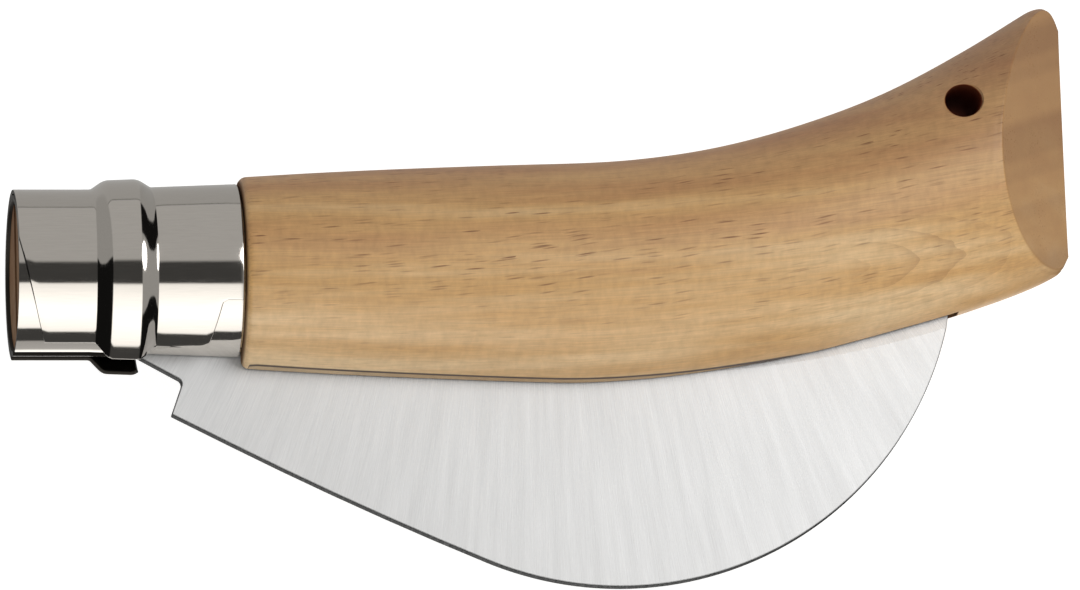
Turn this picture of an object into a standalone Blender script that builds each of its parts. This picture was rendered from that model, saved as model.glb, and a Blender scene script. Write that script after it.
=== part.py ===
"""Folding pruning knife: beech handle, slotted steel collar, turning lock ring, sickle blade, rivet.

The closed knife lies on its side. X runs along the collar's axis from the collar's front to
the butt, Y from the back of the blade to the back of the handle, and Z up, square to the
blade. Everything is first placed from the middle of the collar's front, and one empty then
carries the knife so that the origin is under its middle, on the surface that it lies on.
"""

import math

import bmesh
import bpy
from mathutils import Vector

MM = 0.001

# Collar: a slotted tube, straight at the front and slightly conical behind
COLLAR_LENGTH = 28.6 * MM
COLLAR_STRAIGHT_LENGTH = 9.5 * MM
COLLAR_FRONT_RADIUS = 10.3 * MM
COLLAR_REAR_RADIUS = 11.0 * MM
COLLAR_SHEET = 0.6 * MM

# Lock ring: sheet steel, with a hump over the rivet and a gap that frees the blade
RING_SHEET = 0.5 * MM
RING_RUNNING_GAP = 0.2 * MM
HUMP_LENGTH = 8.6 * MM
HUMP_HEIGHT = 1.15 * MM
HUMP_SETBACK = 1.35 * MM
HUMP_CROWN_SHARE = 0.4
LIP_RISE = 0.6 * MM
LIP_ANGLE = 45.0
FRONT_END_ANGLE = 26.5
HUMP_END_ANGLE = 21.6
REAR_END_ANGLE = 24.2
WEDGE_LEAD = 3.5 * MM
WEDGE_END_ANGLE = 105.0
REAR_CORNER_DEPTH = 4.3 * MM
REAR_NOTCH_DEPTH = 2.5 * MM
REAR_NOTCH_ANGLE = 62.5
FAR_CUT_ANGLE = 317.0
FAR_CUT_SHARE = 0.64

# Rivet
RIVET_RADIUS = 1.0 * MM
RIVET_HEAD_RADIUS = 1.5 * MM
RIVET_HEAD_HEIGHT = 0.7 * MM
RIVET_HEAD_RIM = 0.1 * MM
PIVOT_SETBACK = 12.6 * MM
PIVOT_DROP = 0.4 * MM

# Blade, drawn open: its back is a straight run, a slight curve and a hook
BLADE_THICKNESS = 2.0 * MM
TANG_RADIUS = 7.5 * MM
TANG_TOP_GAP = 0.3 * MM
SHOULDER_HEIGHT = 4.6 * MM
SHOULDER_FILLET = 0.8 * MM
BACK_RISE_ANGLE = 7.7
BACK_STRAIGHT_LENGTH = 8.5 * MM
BACK_LONG_RADIUS = 489.0 * MM
BACK_LONG_ANGLE = 4.2
BACK_HOOK_RADIUS = 43.9 * MM
BACK_HOOK_ANGLE = 108.2
HEEL_LEAD = 1.7 * MM
HEEL_DROP = 8.5 * MM
EDGE_RADIUS = 132.0 * MM
EDGE_THICKNESS = 0.3 * MM
GRIND_WIDTH = 6.0 * MM
TIP_REST_DROP = 0.4 * MM

# Handle: nearly round at the neck, oval and deeper at the belly, swept up to a wide butt
NECK_STEP = 0.82 * MM
NECK_SIDE_STEP = 0.35 * MM
NECK_LIFT = 0.05 * MM
NECK_RIM_RADIUS = 1.0 * MM
BELLY_HALF_HEIGHT = 14.4 * MM
BELLY_HALF_THICKNESS = 12.2 * MM
BUTT_HALF_HEIGHT = 18.05 * MM
BUTT_RISE = 19.05 * MM
BEND_START_SHARE = 0.375
TAIL_LENGTH = 14.6 * MM
TOP_CORNER_RADIUS = 4.7 * MM
LOW_CORNER_RADIUS = 1.8 * MM
FACET_ANGLE = 52.0
RIDGE_RAKE_ANGLE = 1.0
LANYARD_RADIUS = 2.3 * MM
LANYARD_SETBACK = 14.6 * MM
LANYARD_TOP_MARGIN = 7.6 * MM
CORE_RECESS = 0.6 * MM
KERF_CORNER_RADIUS = 4.0 * MM

# Share of the handle's length, share of the swell from neck to belly, and from belly to butt
HANDLE_SECTION_SHARES = (
    (0.00, 0.00, 0.00),
    (0.10, 0.35, 0.00),
    (0.22, 0.67, 0.00),
    (0.38, 0.98, 0.00),
    (0.48, 1.00, 0.01),
    (0.58, 1.00, 0.05),
    (0.68, 1.00, 0.18),
    (0.78, 1.00, 0.36),
    (0.88, 1.00, 0.71),
    (0.96, 1.00, 1.00),
    (1.00, 1.00, 1.02),
)

# Clearances and working values
SEAT_GAP = 0.3 * MM
SIDE_GAP = 0.3 * MM
STOP_GAP = 0.3 * MM
KERF_GAP = 0.4 * MM
KERF_END_GAP = 0.5 * MM
OVERRUN = 3.0 * MM
WELD = 0.001 * MM

SHARP_ANGLE = 35.0
GRIND_SHARP_ANGLE = 6.0

# How finely round shapes are stepped
ROUND_STEPS = 60
RING_NEAR_STEPS = 7
RING_FAR_STEPS = 4
HUMP_FLANK_SHARES = (0.25, 0.5, 1.0)
DOME_STEPS = 4
SECTION_STEPS = 48
BODY_STEPS = 26
CORNER_STEPS = 5
RIM_STEPS = 3
EDGE_STEPS = 24
HOLE_STEPS = 20
ARC_STEP_ANGLE = 4.0


def clear_scene():
    """Remove whatever objects the file holds."""
    for item in list(bpy.data.objects):
        bpy.data.objects.remove(item, do_unlink=True)


def linear_colour(hex_colour):
    """Turn a hex sRGB colour into linear red, green, blue and alpha."""
    channels = [int(hex_colour[i:i + 2], 16) / 255 for i in (0, 2, 4)]
    linear = [c / 12.92 if c <= 0.04045 else ((c + 0.055) / 1.055) ** 2.4 for c in channels]
    return (*linear, 1.0)


def make_material(name, hex_colour, roughness, metallic):
    """Return a Principled material."""
    material = bpy.data.materials.new(name)
    material.use_nodes = True
    material.diffuse_color = linear_colour(hex_colour)
    shader = material.node_tree.nodes["Principled BSDF"]
    shader.inputs["Base Color"].default_value = linear_colour(hex_colour)
    shader.inputs["Roughness"].default_value = roughness
    shader.inputs["Metallic"].default_value = metallic
    return material


def add_object(name, bm, material=None, parent=None, location=(0.0, 0.0, 0.0), turn=0.0):
    """Turn a bmesh into an object under its parent, turned about Z by an angle in radians."""
    bmesh.ops.recalc_face_normals(bm, faces=bm.faces)
    mesh = bpy.data.meshes.new(name)
    bm.to_mesh(mesh)
    bm.free()
    piece = bpy.data.objects.new(name, mesh)
    bpy.context.collection.objects.link(piece)
    piece.parent = parent
    piece.location = location
    piece.rotation_euler = (0.0, 0.0, turn)
    if material:
        mesh.materials.append(material)
    return piece


def add_empty(name, parent=None, location=(0.0, 0.0, 0.0)):
    """Add an empty that carries pieces."""
    empty = bpy.data.objects.new(name, None)
    bpy.context.collection.objects.link(empty)
    empty.parent = parent
    empty.location = location
    empty.empty_display_size = COLLAR_FRONT_RADIUS
    return empty


def smooth(piece, sharp_angle=SHARP_ANGLE):
    """Shade a piece smooth, but for the edges that are sharper than an angle in degrees."""
    piece.data.shade_smooth()
    piece.data.set_sharp_from_angle(angle=math.radians(sharp_angle))


def cut(piece, cutter):
    """Cut a piece with a hidden cutter that shares its parent."""
    cutter.hide_render = True
    cutter.display_type = 'WIRE'
    boolean = piece.modifiers.new(cutter.name, 'BOOLEAN')
    boolean.operation = 'DIFFERENCE'
    boolean.object = cutter


def thicken(piece, sheet):
    """Give a surface its sheet thickness, inwards."""
    solidify = piece.modifiers.new("sheet", 'SOLIDIFY')
    solidify.thickness = sheet
    solidify.offset = -1.0
    solidify.use_even_offset = True


def round_cutter(name, radius, reach, parent, location):
    """Return a round cutter along Z that reaches a distance each way."""
    bm = bmesh.new()
    bmesh.ops.create_cone(bm, cap_ends=True, segments=HOLE_STEPS,
                          radius1=radius, radius2=radius, depth=2 * reach)
    return add_object(name, bm, parent=parent, location=location)


def plate_cutter(name, outline, half_thickness, parent):
    """Return a cutter made from a flat outline in XY, thickened both ways along Z."""
    bm = bmesh.new()
    corners = [bm.verts.new((x, y, -half_thickness)) for x, y in outline]
    face = bm.faces.new(corners)
    raised = bmesh.ops.extrude_face_region(bm, geom=[face])["geom"]
    moved = [item for item in raised if isinstance(item, bmesh.types.BMVert)]
    bmesh.ops.translate(bm, verts=moved, vec=(0.0, 0.0, 2 * half_thickness))
    return add_object(name, bm, parent=parent)


def smooth_step(value):
    """Ease from 0 to 1, level at both ends."""
    value = min(1.0, max(0.0, value))
    return value * value * (3 - 2 * value)


def follow_table(table, share, column):
    """Read a column of a table at a share, on a smooth curve through its rows."""
    keys = [row[0] for row in table]
    values = [row[column] for row in table]
    last = len(keys) - 1
    row = max(0, min(last - 1, sum(1 for key in keys if key <= share) - 1))

    def slope(at):
        before, after = max(0, at - 1), min(last, at + 1)
        return (values[after] - values[before]) / (keys[after] - keys[before])

    span = keys[row + 1] - keys[row]
    t = (share - keys[row]) / span
    start = values[row] * (1 + 2 * t) * (1 - t) ** 2 + slope(row) * span * t * (1 - t) ** 2
    end = values[row + 1] * t * t * (3 - 2 * t) + slope(row + 1) * span * t * t * (t - 1)
    return start + end


def arc_steps(angle):
    """Return how many straight pieces an arc of an angle in degrees has."""
    return max(1, math.ceil(abs(angle) / ARC_STEP_ANGLE))


def arc_points(centre, radius, start, end):
    """Return points on an arc from one angle to another, in degrees, both ends included."""
    steps = arc_steps(end - start)
    angles = [math.radians(start + (end - start) * i / steps) for i in range(steps + 1)]
    return [(centre[0] + radius * math.cos(a), centre[1] + radius * math.sin(a)) for a in angles]


# Collar and lock ring

def collar_radius(x):
    """Return the collar's outer radius at a distance behind its front."""
    cone_length = COLLAR_LENGTH - COLLAR_STRAIGHT_LENGTH
    share = max(0.0, x - COLLAR_STRAIGHT_LENGTH) / cone_length
    return COLLAR_FRONT_RADIUS + (COLLAR_REAR_RADIUS - COLLAR_FRONT_RADIUS) * share


def round_point(x, radius, angle):
    """Return a point round the axis, at an angle in degrees from the slot towards +Z."""
    turn = math.radians(angle)
    return (x, -radius * math.cos(turn), radius * math.sin(turn))


def sheet_surface(rows, keep):
    """Return a bmesh surface through rows of points, without the cells that keep refuses."""
    bm = bmesh.new()
    grid = [[bm.verts.new(point) for point in row] for row in rows]
    for i in range(len(rows) - 1):
        for j in range(len(rows[0]) - 1):
            if keep(i, j):
                bm.faces.new((grid[i][j], grid[i][j + 1], grid[i + 1][j + 1], grid[i + 1][j]))
    unused = [vert for vert in bm.verts if not vert.link_faces]
    bmesh.ops.delete(bm, geom=unused, context='VERTS')
    return bm


def build_ferrule(material, parent, pivot):
    """Build the fixed collar, slotted along its whole length for the blade."""
    rows = []
    for x in (0.0, COLLAR_STRAIGHT_LENGTH, COLLAR_LENGTH):
        radius = collar_radius(x)
        edge = math.degrees(math.asin((BLADE_THICKNESS / 2 + SIDE_GAP) / radius))
        span = 360 - 2 * edge
        angles = [edge + span * j / ROUND_STEPS for j in range(ROUND_STEPS + 1)]
        rows.append([round_point(x, radius, angle) for angle in angles])
    ferrule = add_object("ferrule", sheet_surface(rows, lambda i, j: True), material, parent)
    smooth(ferrule)
    thicken(ferrule, COLLAR_SHEET)
    hole = RIVET_RADIUS + SEAT_GAP
    reach = COLLAR_REAR_RADIUS + OVERRUN
    cut(ferrule, round_cutter("ferrule_rivet_hole", hole, reach, parent, pivot))
    return ferrule


def hump_centre():
    """Return the distance of the hump's middle behind the collar's front."""
    return PIVOT_SETBACK + HUMP_SETBACK


def hump_share(x):
    """Return how far the hump has risen at a distance behind the collar's front."""
    offset = abs(x - hump_centre()) / (HUMP_LENGTH / 2)
    return smooth_step((1 - offset) / (1 - HUMP_CROWN_SHARE))


def near_end_angle(x):
    """Return the angle of the ring's near end, which closes in at the hump."""
    base = FRONT_END_ANGLE if x < hump_centre() else REAR_END_ANGLE
    return base + (HUMP_END_ANGLE - base) * hump_share(x)


def ring_radius(x, angle):
    """Return the ring's outer radius: collar, running gap, sheet, hump and the hump's lips."""
    past_end = min(angle, 360 - angle) - HUMP_END_ANGLE
    lip = max(0.0, 1 - max(0.0, past_end) / LIP_ANGLE) ** 2
    hump = (HUMP_HEIGHT + LIP_RISE * lip) * hump_share(x)
    return collar_radius(x) + RING_RUNNING_GAP + RING_SHEET + hump


def wedge_edge(angle):
    """Return where the ring's front edge lies: cut back towards the near end of the gap."""
    share = (WEDGE_END_ANGLE - angle) / (WEDGE_END_ANGLE - FRONT_END_ANGLE)
    return WEDGE_LEAD * min(1.0, max(0.0, share))


def corner_edge(angle):
    """Return where the slanted cut at the near rear corner lies."""
    share = (REAR_NOTCH_ANGLE - angle) / (REAR_NOTCH_ANGLE - REAR_END_ANGLE)
    share = min(1.0, max(0.0, share))
    return COLLAR_LENGTH - REAR_NOTCH_DEPTH - (REAR_CORNER_DEPTH - REAR_NOTCH_DEPTH) * share


def build_lock_ring(material, parent):
    """Build the ring as a formed sheet: hump, lips, wedge edge, rear corner and far cut."""
    middle_steps = ROUND_STEPS - RING_NEAR_STEPS - RING_FAR_STEPS
    far_end = 360 - HUMP_END_ANGLE

    def angles(x):
        spans = ((near_end_angle(x), REAR_NOTCH_ANGLE, RING_NEAR_STEPS),
                 (REAR_NOTCH_ANGLE, FAR_CUT_ANGLE, middle_steps),
                 (FAR_CUT_ANGLE, far_end, RING_FAR_STEPS))
        return [start + (end - start) * j / steps
                for start, end, steps in spans for j in range(steps)] + [far_end]

    crown = HUMP_CROWN_SHARE
    flank = [crown + (1 - crown) * share for share in HUMP_FLANK_SHARES] + [FAR_CUT_SHARE]
    hump_shares = sorted([-share for share in flank] + [-crown, 0.0, crown] + flank)
    hump_rows = [hump_centre() + share * HUMP_LENGTH / 2 for share in hump_shares]
    far_cut_row = 1 + hump_shares.index(FAR_CUT_SHARE)

    rows = [[(wedge_edge(angle), angle) for angle in angles(0.0)]]
    rows += [[(x, angle) for angle in angles(x)] for x in hump_rows]
    rows += [[(corner_edge(angle), angle) for angle in angles(COLLAR_LENGTH)]]
    rows += [[(COLLAR_LENGTH, angle) for angle in angles(COLLAR_LENGTH)]]
    points = [[round_point(x, ring_radius(x, angle), angle) for x, angle in row] for row in rows]
    rear_row = len(rows) - 2

    def keep(i, j):
        in_corner = i == rear_row and j < RING_NEAR_STEPS
        in_far_cut = i >= far_cut_row and j >= RING_NEAR_STEPS + middle_steps
        return not in_corner and not in_far_cut

    ring = add_object("lock_ring", sheet_surface(points, keep), material, parent)
    smooth(ring)
    thicken(ring, RING_SHEET)
    return ring


# Rivet

def build_pivot_pin(material, parent):
    """Build the rivet: a round shank with a low domed head at each end."""
    seat = collar_radius(PIVOT_SETBACK) + SEAT_GAP
    head = [(RIVET_HEAD_RADIUS, seat)]
    for k in range(DOME_STEPS + 1):
        turn = math.pi / 2 * k / DOME_STEPS
        rise = RIVET_HEAD_RIM + (RIVET_HEAD_HEIGHT - RIVET_HEAD_RIM) * math.sin(turn)
        head.append((RIVET_HEAD_RADIUS * math.cos(turn), seat + rise))
    upper = [(RIVET_RADIUS, seat)] + head
    profile = [(radius, -height) for radius, height in reversed(upper)] + upper
    bm = bmesh.new()
    verts = [bm.verts.new((radius, 0.0, height)) for radius, height in profile]
    edges = [bm.edges.new(pair) for pair in zip(verts, verts[1:])]
    bmesh.ops.spin(bm, geom=verts + edges, cent=(0.0, 0.0, 0.0), axis=(0.0, 0.0, 1.0),
                   angle=math.tau, steps=HOLE_STEPS, use_merge=True)
    bmesh.ops.remove_doubles(bm, verts=bm.verts, dist=WELD)
    pin = add_object("pivot_pin", bm, material, parent)
    smooth(pin)
    return pin


# Blade, drawn open with the rivet at the origin and the tip towards -X

def stop_distance():
    """Return how far the stop shoulder lies from the rivet, clear of the collar's front."""
    return PIVOT_SETBACK + STOP_GAP


def shoulder_foot():
    """Return the height of the tang's back at the shoulder, inside the collar's bore."""
    return COLLAR_FRONT_RADIUS - COLLAR_SHEET - TANG_TOP_GAP + PIVOT_DROP


def blade_back():
    """Return the blade's back from the top of the shoulder to the tip, forward taken as +X."""
    x, y = stop_distance(), shoulder_foot() + SHOULDER_HEIGHT
    heading = BACK_RISE_ANGLE
    points = [(x, y)]
    x += BACK_STRAIGHT_LENGTH * math.cos(math.radians(heading))
    y += BACK_STRAIGHT_LENGTH * math.sin(math.radians(heading))
    runs = ((BACK_LONG_RADIUS, BACK_LONG_ANGLE), (BACK_HOOK_RADIUS, BACK_HOOK_ANGLE))
    for radius, sweep in runs:
        centre = (x + radius * math.sin(math.radians(heading)),
                  y - radius * math.cos(math.radians(heading)))
        points += arc_points(centre, radius, heading + 90, heading + 90 - sweep)
        heading -= sweep
        x, y = points[-1]
        points.pop()
    return points + [(x, y)]


def edge_circle(tip):
    """Return the centre of the hollow edge's circle, and its heel and tip angles in degrees."""
    heel = Vector((stop_distance() + HEEL_LEAD, -HEEL_DROP))
    chord = Vector(tip) - heel
    below = Vector((chord.y, -chord.x)).normalized()
    centre = heel + chord / 2 + below * math.sqrt(EDGE_RADIUS ** 2 - (chord.length / 2) ** 2)
    from_heel, from_tip = heel - centre, Vector(tip) - centre
    return (centre, math.degrees(math.atan2(from_heel.y, from_heel.x)),
            math.degrees(math.atan2(from_tip.y, from_tip.x)))


def spread(centre, radius, start, end):
    """Return the points of the edge or of its grind line."""
    angles = [math.radians(start + (end - start) * i / EDGE_STEPS) for i in range(EDGE_STEPS + 1)]
    return [(centre.x + radius * math.cos(a), centre.y + radius * math.sin(a)) for a in angles]


def grind_meeting(back, centre):
    """Return how many points of the back stay clear of the grind, and where the two meet."""
    limit = EDGE_RADIUS + GRIND_WIDTH
    kept = len(back)
    while (Vector(back[kept - 1]) - centre).length < limit:
        kept -= 1
    inside, outside = Vector(back[kept]), Vector(back[kept - 1])
    near, far = (inside - centre).length, (outside - centre).length
    return kept, inside.lerp(outside, (limit - near) / (far - near))


def tangent_angle(point, side):
    """Return the angle in degrees where a line from a point touches the tang's round end."""
    to_point = math.degrees(math.atan2(point[1], point[0]))
    return to_point + side * math.degrees(math.acos(TANG_RADIUS / math.hypot(*point)))


def tang_outline(heel):
    """Return the tang from the heel, round the rivet and up to the stop shoulder."""
    foot = (stop_distance(), shoulder_foot())
    low = tangent_angle(heel, -1)
    high = tangent_angle(foot, 1)
    round_end = arc_points((0.0, 0.0), TANG_RADIUS, low, high - 360)
    slope = math.radians(high - 90)
    fillet = (foot[0] - SHOULDER_FILLET,
              foot[1] + SHOULDER_FILLET * (1 / math.cos(slope) - math.tan(slope)))
    return round_end + arc_points(fillet, SHOULDER_FILLET, high - 180, 0)


def fold_angle(tip):
    """Return the angle in radians that folds the open blade until its tip lies in the kerf."""
    rest = math.asin((PIVOT_DROP - TIP_REST_DROP) / math.hypot(*tip))
    return rest - math.atan2(tip[1], -tip[0])


def folded(point, tip):
    """Return where a point of the open blade lies in the folded knife."""
    turn = fold_angle(tip)
    x = -point[0] * math.cos(turn) - point[1] * math.sin(turn)
    y = -point[0] * math.sin(turn) + point[1] * math.cos(turn)
    return x + PIVOT_SETBACK, y - PIVOT_DROP


def build_blade(material, parent, tip):
    """Build the blade with its tang, stop shoulder, hooked back and ground hollow edge."""
    back = blade_back()
    centre, heel_angle, tip_angle = edge_circle(tip)
    kept, meeting = grind_meeting(back, centre)
    meeting_angle = math.degrees(math.atan2(meeting.y - centre.y, meeting.x - centre.x))
    edge = spread(centre, EDGE_RADIUS, heel_angle, tip_angle)
    grind = spread(centre, EDGE_RADIUS + GRIND_WIDTH, heel_angle, meeting_angle)
    tang = tang_outline(edge[0])

    bm = bmesh.new()
    sides = []
    for side in (1, -1):
        flat, thin = side * BLADE_THICKNESS / 2, side * EDGE_THICKNESS / 2
        sides.append({
            "tang": [bm.verts.new((-x, y, flat)) for x, y in [edge[0]] + tang],
            "back": [bm.verts.new((-x, y, flat)) for x, y in back[:kept]],
            "grind": [bm.verts.new((-x, y, flat)) for x, y in grind],
            "edge": [bm.verts.new((-x, y, thin)) for x, y in edge],
        })
    for side in sides:
        bm.faces.new(side["tang"] + side["back"] + side["grind"][::-1])
        bm.faces.new((side["tang"][0], side["grind"][0], side["edge"][0]))
        for i in range(EDGE_STEPS):
            bm.faces.new((side["grind"][i], side["grind"][i + 1],
                          side["edge"][i + 1], side["edge"][i]))
    upper, lower = sides
    rims = [side["tang"][1:] + side["back"] + [side["grind"][-1], side["edge"][-1]]
            for side in sides]
    for i in range(len(rims[0]) - 1):
        bm.faces.new((rims[0][i], rims[0][i + 1], rims[1][i + 1], rims[1][i]))
    for i in range(EDGE_STEPS):
        bm.faces.new((upper["edge"][i], upper["edge"][i + 1],
                      lower["edge"][i + 1], lower["edge"][i]))
    bm.faces.new((upper["tang"][1], upper["tang"][0], upper["edge"][0],
                  lower["edge"][0], lower["tang"][0], lower["tang"][1]))

    blade = add_object("blade", bm, material, parent, turn=fold_angle(tip))
    smooth(blade, GRIND_SHARP_ANGLE)
    hole = RIVET_RADIUS + SEAT_GAP
    cut(blade, round_cutter("blade_rivet_hole", hole, BLADE_THICKNESS, parent, (0.0, 0.0, 0.0)))
    return blade


# Handle

def neck_start():
    """Return where the handle's neck starts, clear of the collar's rear end."""
    return COLLAR_LENGTH + SEAT_GAP


def kerf_end(tip):
    """Return where the kerf ends, just past the tip of the folded blade."""
    return PIVOT_SETBACK + math.hypot(*tip) + KERF_END_GAP


def corner_drop(distance, radius):
    """Return how far a rounded corner has dropped at a distance before its end."""
    share = 1 - min(1.0, max(0.0, distance / radius))
    return radius * (1 - math.sqrt(1 - share ** 2))


class HandleShape:
    """The handle's outside: its oval sections from the neck to the butt."""

    def __init__(self, tip):
        self.end = kerf_end(tip) + TAIL_LENGTH
        self.length = self.end - neck_start()
        ring = ring_radius(COLLAR_LENGTH, 180.0)
        self.neck_height, self.neck_side = ring + NECK_STEP, ring + NECK_SIDE_STEP
        self.low_end = self.plain_section(self.end)[1]

    def plain_section(self, x):
        """Return top, bottom and half thickness at a place, before the butt's corners."""
        share = min(1.0, (x - neck_start()) / self.length)
        swell = follow_table(HANDLE_SECTION_SHARES, share, 1)
        flare = follow_table(HANDLE_SECTION_SHARES, share, 2)
        bend = max(0.0, share - BEND_START_SHARE) / (1 - BEND_START_SHARE)
        centre = NECK_LIFT * (1 - share) + BUTT_RISE * bend ** 2
        half = self.neck_height + (BELLY_HALF_HEIGHT - self.neck_height) * swell
        half += (BUTT_HALF_HEIGHT - BELLY_HALF_HEIGHT) * flare
        thick = self.neck_side + (BELLY_HALF_THICKNESS - self.neck_side) * swell
        return centre + half, centre - half, thick

    def ridge(self, y):
        """Return where the butt's ridge lies at a height."""
        return self.end - (y - self.low_end) * math.tan(math.radians(RIDGE_RAKE_ANGLE))

    def section(self, x):
        """Return top, bottom and half thickness, with the butt's corners rounded."""
        top, bottom, thick = self.plain_section(x)
        top -= corner_drop(self.ridge(top) - x, TOP_CORNER_RADIUS)
        bottom += corner_drop(self.end - x, LOW_CORNER_RADIUS)
        return top, bottom, thick

    def stations(self):
        """Return the places of the sections, closer together round the butt's corners."""
        top_end = self.ridge(self.plain_section(self.end)[0])
        body_start = neck_start() + NECK_RIM_RADIUS
        body_end = top_end - TOP_CORNER_RADIUS
        places = [body_start + (body_end - body_start) * i / BODY_STEPS for i in range(BODY_STEPS)]
        for end, radius in ((top_end, TOP_CORNER_RADIUS), (self.end, LOW_CORNER_RADIUS)):
            turns = [math.pi / 2 * k / CORNER_STEPS for k in range(CORNER_STEPS + 1)]
            places += [end - radius * (1 - math.sin(turn)) for turn in turns]
        return sorted(places) + [self.end + OVERRUN]


def oval(x, top, bottom, thick):
    """Return the points of an oval section square to X."""
    centre, half = (top + bottom) / 2, (top - bottom) / 2
    turns = [math.tau * k / SECTION_STEPS for k in range(SECTION_STEPS)]
    return [(x, centre + half * math.cos(turn), thick * math.sin(turn)) for turn in turns]


def handle_sections(shape):
    """Return the sections of the core inside the collar, the neck's rim and the body."""
    sections = []
    for x in (CORE_RECESS, COLLAR_STRAIGHT_LENGTH, neck_start()):
        radius = collar_radius(x) - COLLAR_SHEET - SEAT_GAP
        sections.append(oval(x, radius, -radius, radius))
    for k in range(RIM_STEPS):
        turn = math.pi / 2 * k / RIM_STEPS
        x = neck_start() + NECK_RIM_RADIUS * (1 - math.cos(turn))
        inset = NECK_RIM_RADIUS * (1 - math.sin(turn))
        top, bottom, thick = shape.section(x)
        sections.append(oval(x, top - inset, bottom + inset, thick - inset))
    return sections + [oval(x, *shape.section(x)) for x in shape.stations()]


def cut_butt(bm, shape):
    """Cut the butt to two flat facets that meet on a ridge in the blade's plane."""
    rake, facet = math.radians(RIDGE_RAKE_ANGLE), math.radians(FACET_ANGLE)
    ridge = Vector((-math.sin(rake), math.cos(rake), 0.0))
    for side in (1, -1):
        along = Vector((-math.cos(facet), 0.0, side * math.sin(facet)))
        normal = ridge.cross(along) * side
        bmesh.ops.bisect_plane(bm, geom=bm.verts[:] + bm.edges[:] + bm.faces[:],
                               plane_co=(shape.end, shape.low_end, 0.0), plane_no=normal,
                               clear_outer=True)
        rim = [edge for edge in bm.edges if edge.is_boundary]
        bmesh.ops.holes_fill(bm, edges=rim)


def kerf_outline(tip):
    """Return the side view of the sawn kerf, which follows the folded and the open blade."""
    heel = (stop_distance() + HEEL_LEAD, -HEEL_DROP)
    heel_x, heel_y = folded(heel, tip)
    front_top = shoulder_foot() - PIVOT_DROP + KERF_GAP
    tang_top = TANG_RADIUS - PIVOT_DROP + KERF_GAP
    top = max(heel_y, -TIP_REST_DROP) + KERF_GAP
    deep = -(BELLY_HALF_HEIGHT + OVERRUN)
    end = kerf_end(tip)
    corner = arc_points((end - KERF_CORNER_RADIUS, top - KERF_CORNER_RADIUS),
                        KERF_CORNER_RADIUS, 90, 0)
    return [(-OVERRUN, deep), (-OVERRUN, front_top), (0.0, front_top),
            (PIVOT_SETBACK, tang_top), (PIVOT_SETBACK + TANG_RADIUS / 2, tang_top),
            (heel_x, top)] + corner + [(end, deep)]


def build_handle(material, parent, pivot, tip):
    """Build the beech handle with its core, kerf, faceted butt and holes."""
    shape = HandleShape(tip)
    bm = bmesh.new()
    rings = [[bm.verts.new(point) for point in section] for section in handle_sections(shape)]
    for front, behind in zip(rings, rings[1:]):
        for k in range(SECTION_STEPS):
            after = (k + 1) % SECTION_STEPS
            bm.faces.new((front[k], front[after], behind[after], behind[k]))
    bm.faces.new(rings[0])
    bm.faces.new(rings[-1])
    cut_butt(bm, shape)
    handle = add_object("handle", bm, material, parent)
    smooth(handle)

    kerf_half = BLADE_THICKNESS / 2 + SIDE_GAP
    cut(handle, plate_cutter("kerf", kerf_outline(tip), kerf_half, parent))
    reach = BELLY_HALF_THICKNESS + OVERRUN
    cut(handle, round_cutter("core_rivet_hole", RIVET_RADIUS + SEAT_GAP, reach, parent, pivot))
    hole_x = shape.end - LANYARD_SETBACK
    hole_y = shape.section(hole_x)[0] - LANYARD_TOP_MARGIN
    place = (hole_x, hole_y, 0.0)
    cut(handle, round_cutter("lanyard_hole", LANYARD_RADIUS, reach, parent, place))
    return handle


def stand_on_origin(knife, pieces):
    """Move the knife so that the origin is under its middle, on the surface it lies on."""
    bpy.context.view_layer.update()
    graph = bpy.context.evaluated_depsgraph_get()
    corners = []
    for piece in pieces:
        evaluated = piece.evaluated_get(graph)
        mesh = evaluated.to_mesh()
        corners += [evaluated.matrix_world @ vert.co for vert in mesh.vertices]
        evaluated.to_mesh_clear()
    low = [min(corner[axis] for corner in corners) for axis in range(3)]
    high = [max(corner[axis] for corner in corners) for axis in range(3)]
    knife.location = (-(low[0] + high[0]) / 2, -(low[1] + high[1]) / 2, -low[2])


def build_knife():
    """Build every piece of the closed knife."""
    clear_scene()
    beech = make_material("beech", "c39d6b", 0.5, 0.0)
    collar_steel = make_material("collar_steel", "b4afa9", 0.15, 1.0)
    ring_steel = make_material("ring_steel", "a39c96", 0.12, 1.0)
    blade_steel = make_material("blade_steel", "d4d4d4", 0.3, 1.0)
    rivet_steel = make_material("rivet_steel", "8f8f8f", 0.35, 1.0)

    pivot = (PIVOT_SETBACK, -PIVOT_DROP, 0.0)
    tip = blade_back()[-1]
    knife = add_empty("knife")
    blade_axis = add_empty("blade_axis", knife, pivot)
    ring_axis = add_empty("ring_axis", knife)
    pieces = [
        build_handle(beech, knife, pivot, tip),
        build_ferrule(collar_steel, knife, pivot),
        build_lock_ring(ring_steel, ring_axis),
        build_blade(blade_steel, blade_axis, tip),
        build_pivot_pin(rivet_steel, blade_axis),
    ]
    stand_on_origin(knife, pieces)


build_knife()
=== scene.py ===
"""Visual model of a folding pruning knife, dressed on its packed construction model.

The knife lies closed on its side: a varnished beech handle with a sawn kerf and a butt of two
flat facets, a slotted steel collar, the lock ring that turns on it, the ground sickle blade and
the rivet. X runs along the collar towards the butt, Y towards the handle's back, Z up.
"""

import logging
import math
from collections.abc import Callable, Sequence
from dataclasses import dataclass
from enum import Enum
from functools import partial

import bmesh
import bpy
from bpy.types import Material, Mesh, Node, NodeSocket, NodeTree, Object
from mathutils import Matrix, Vector


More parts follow.
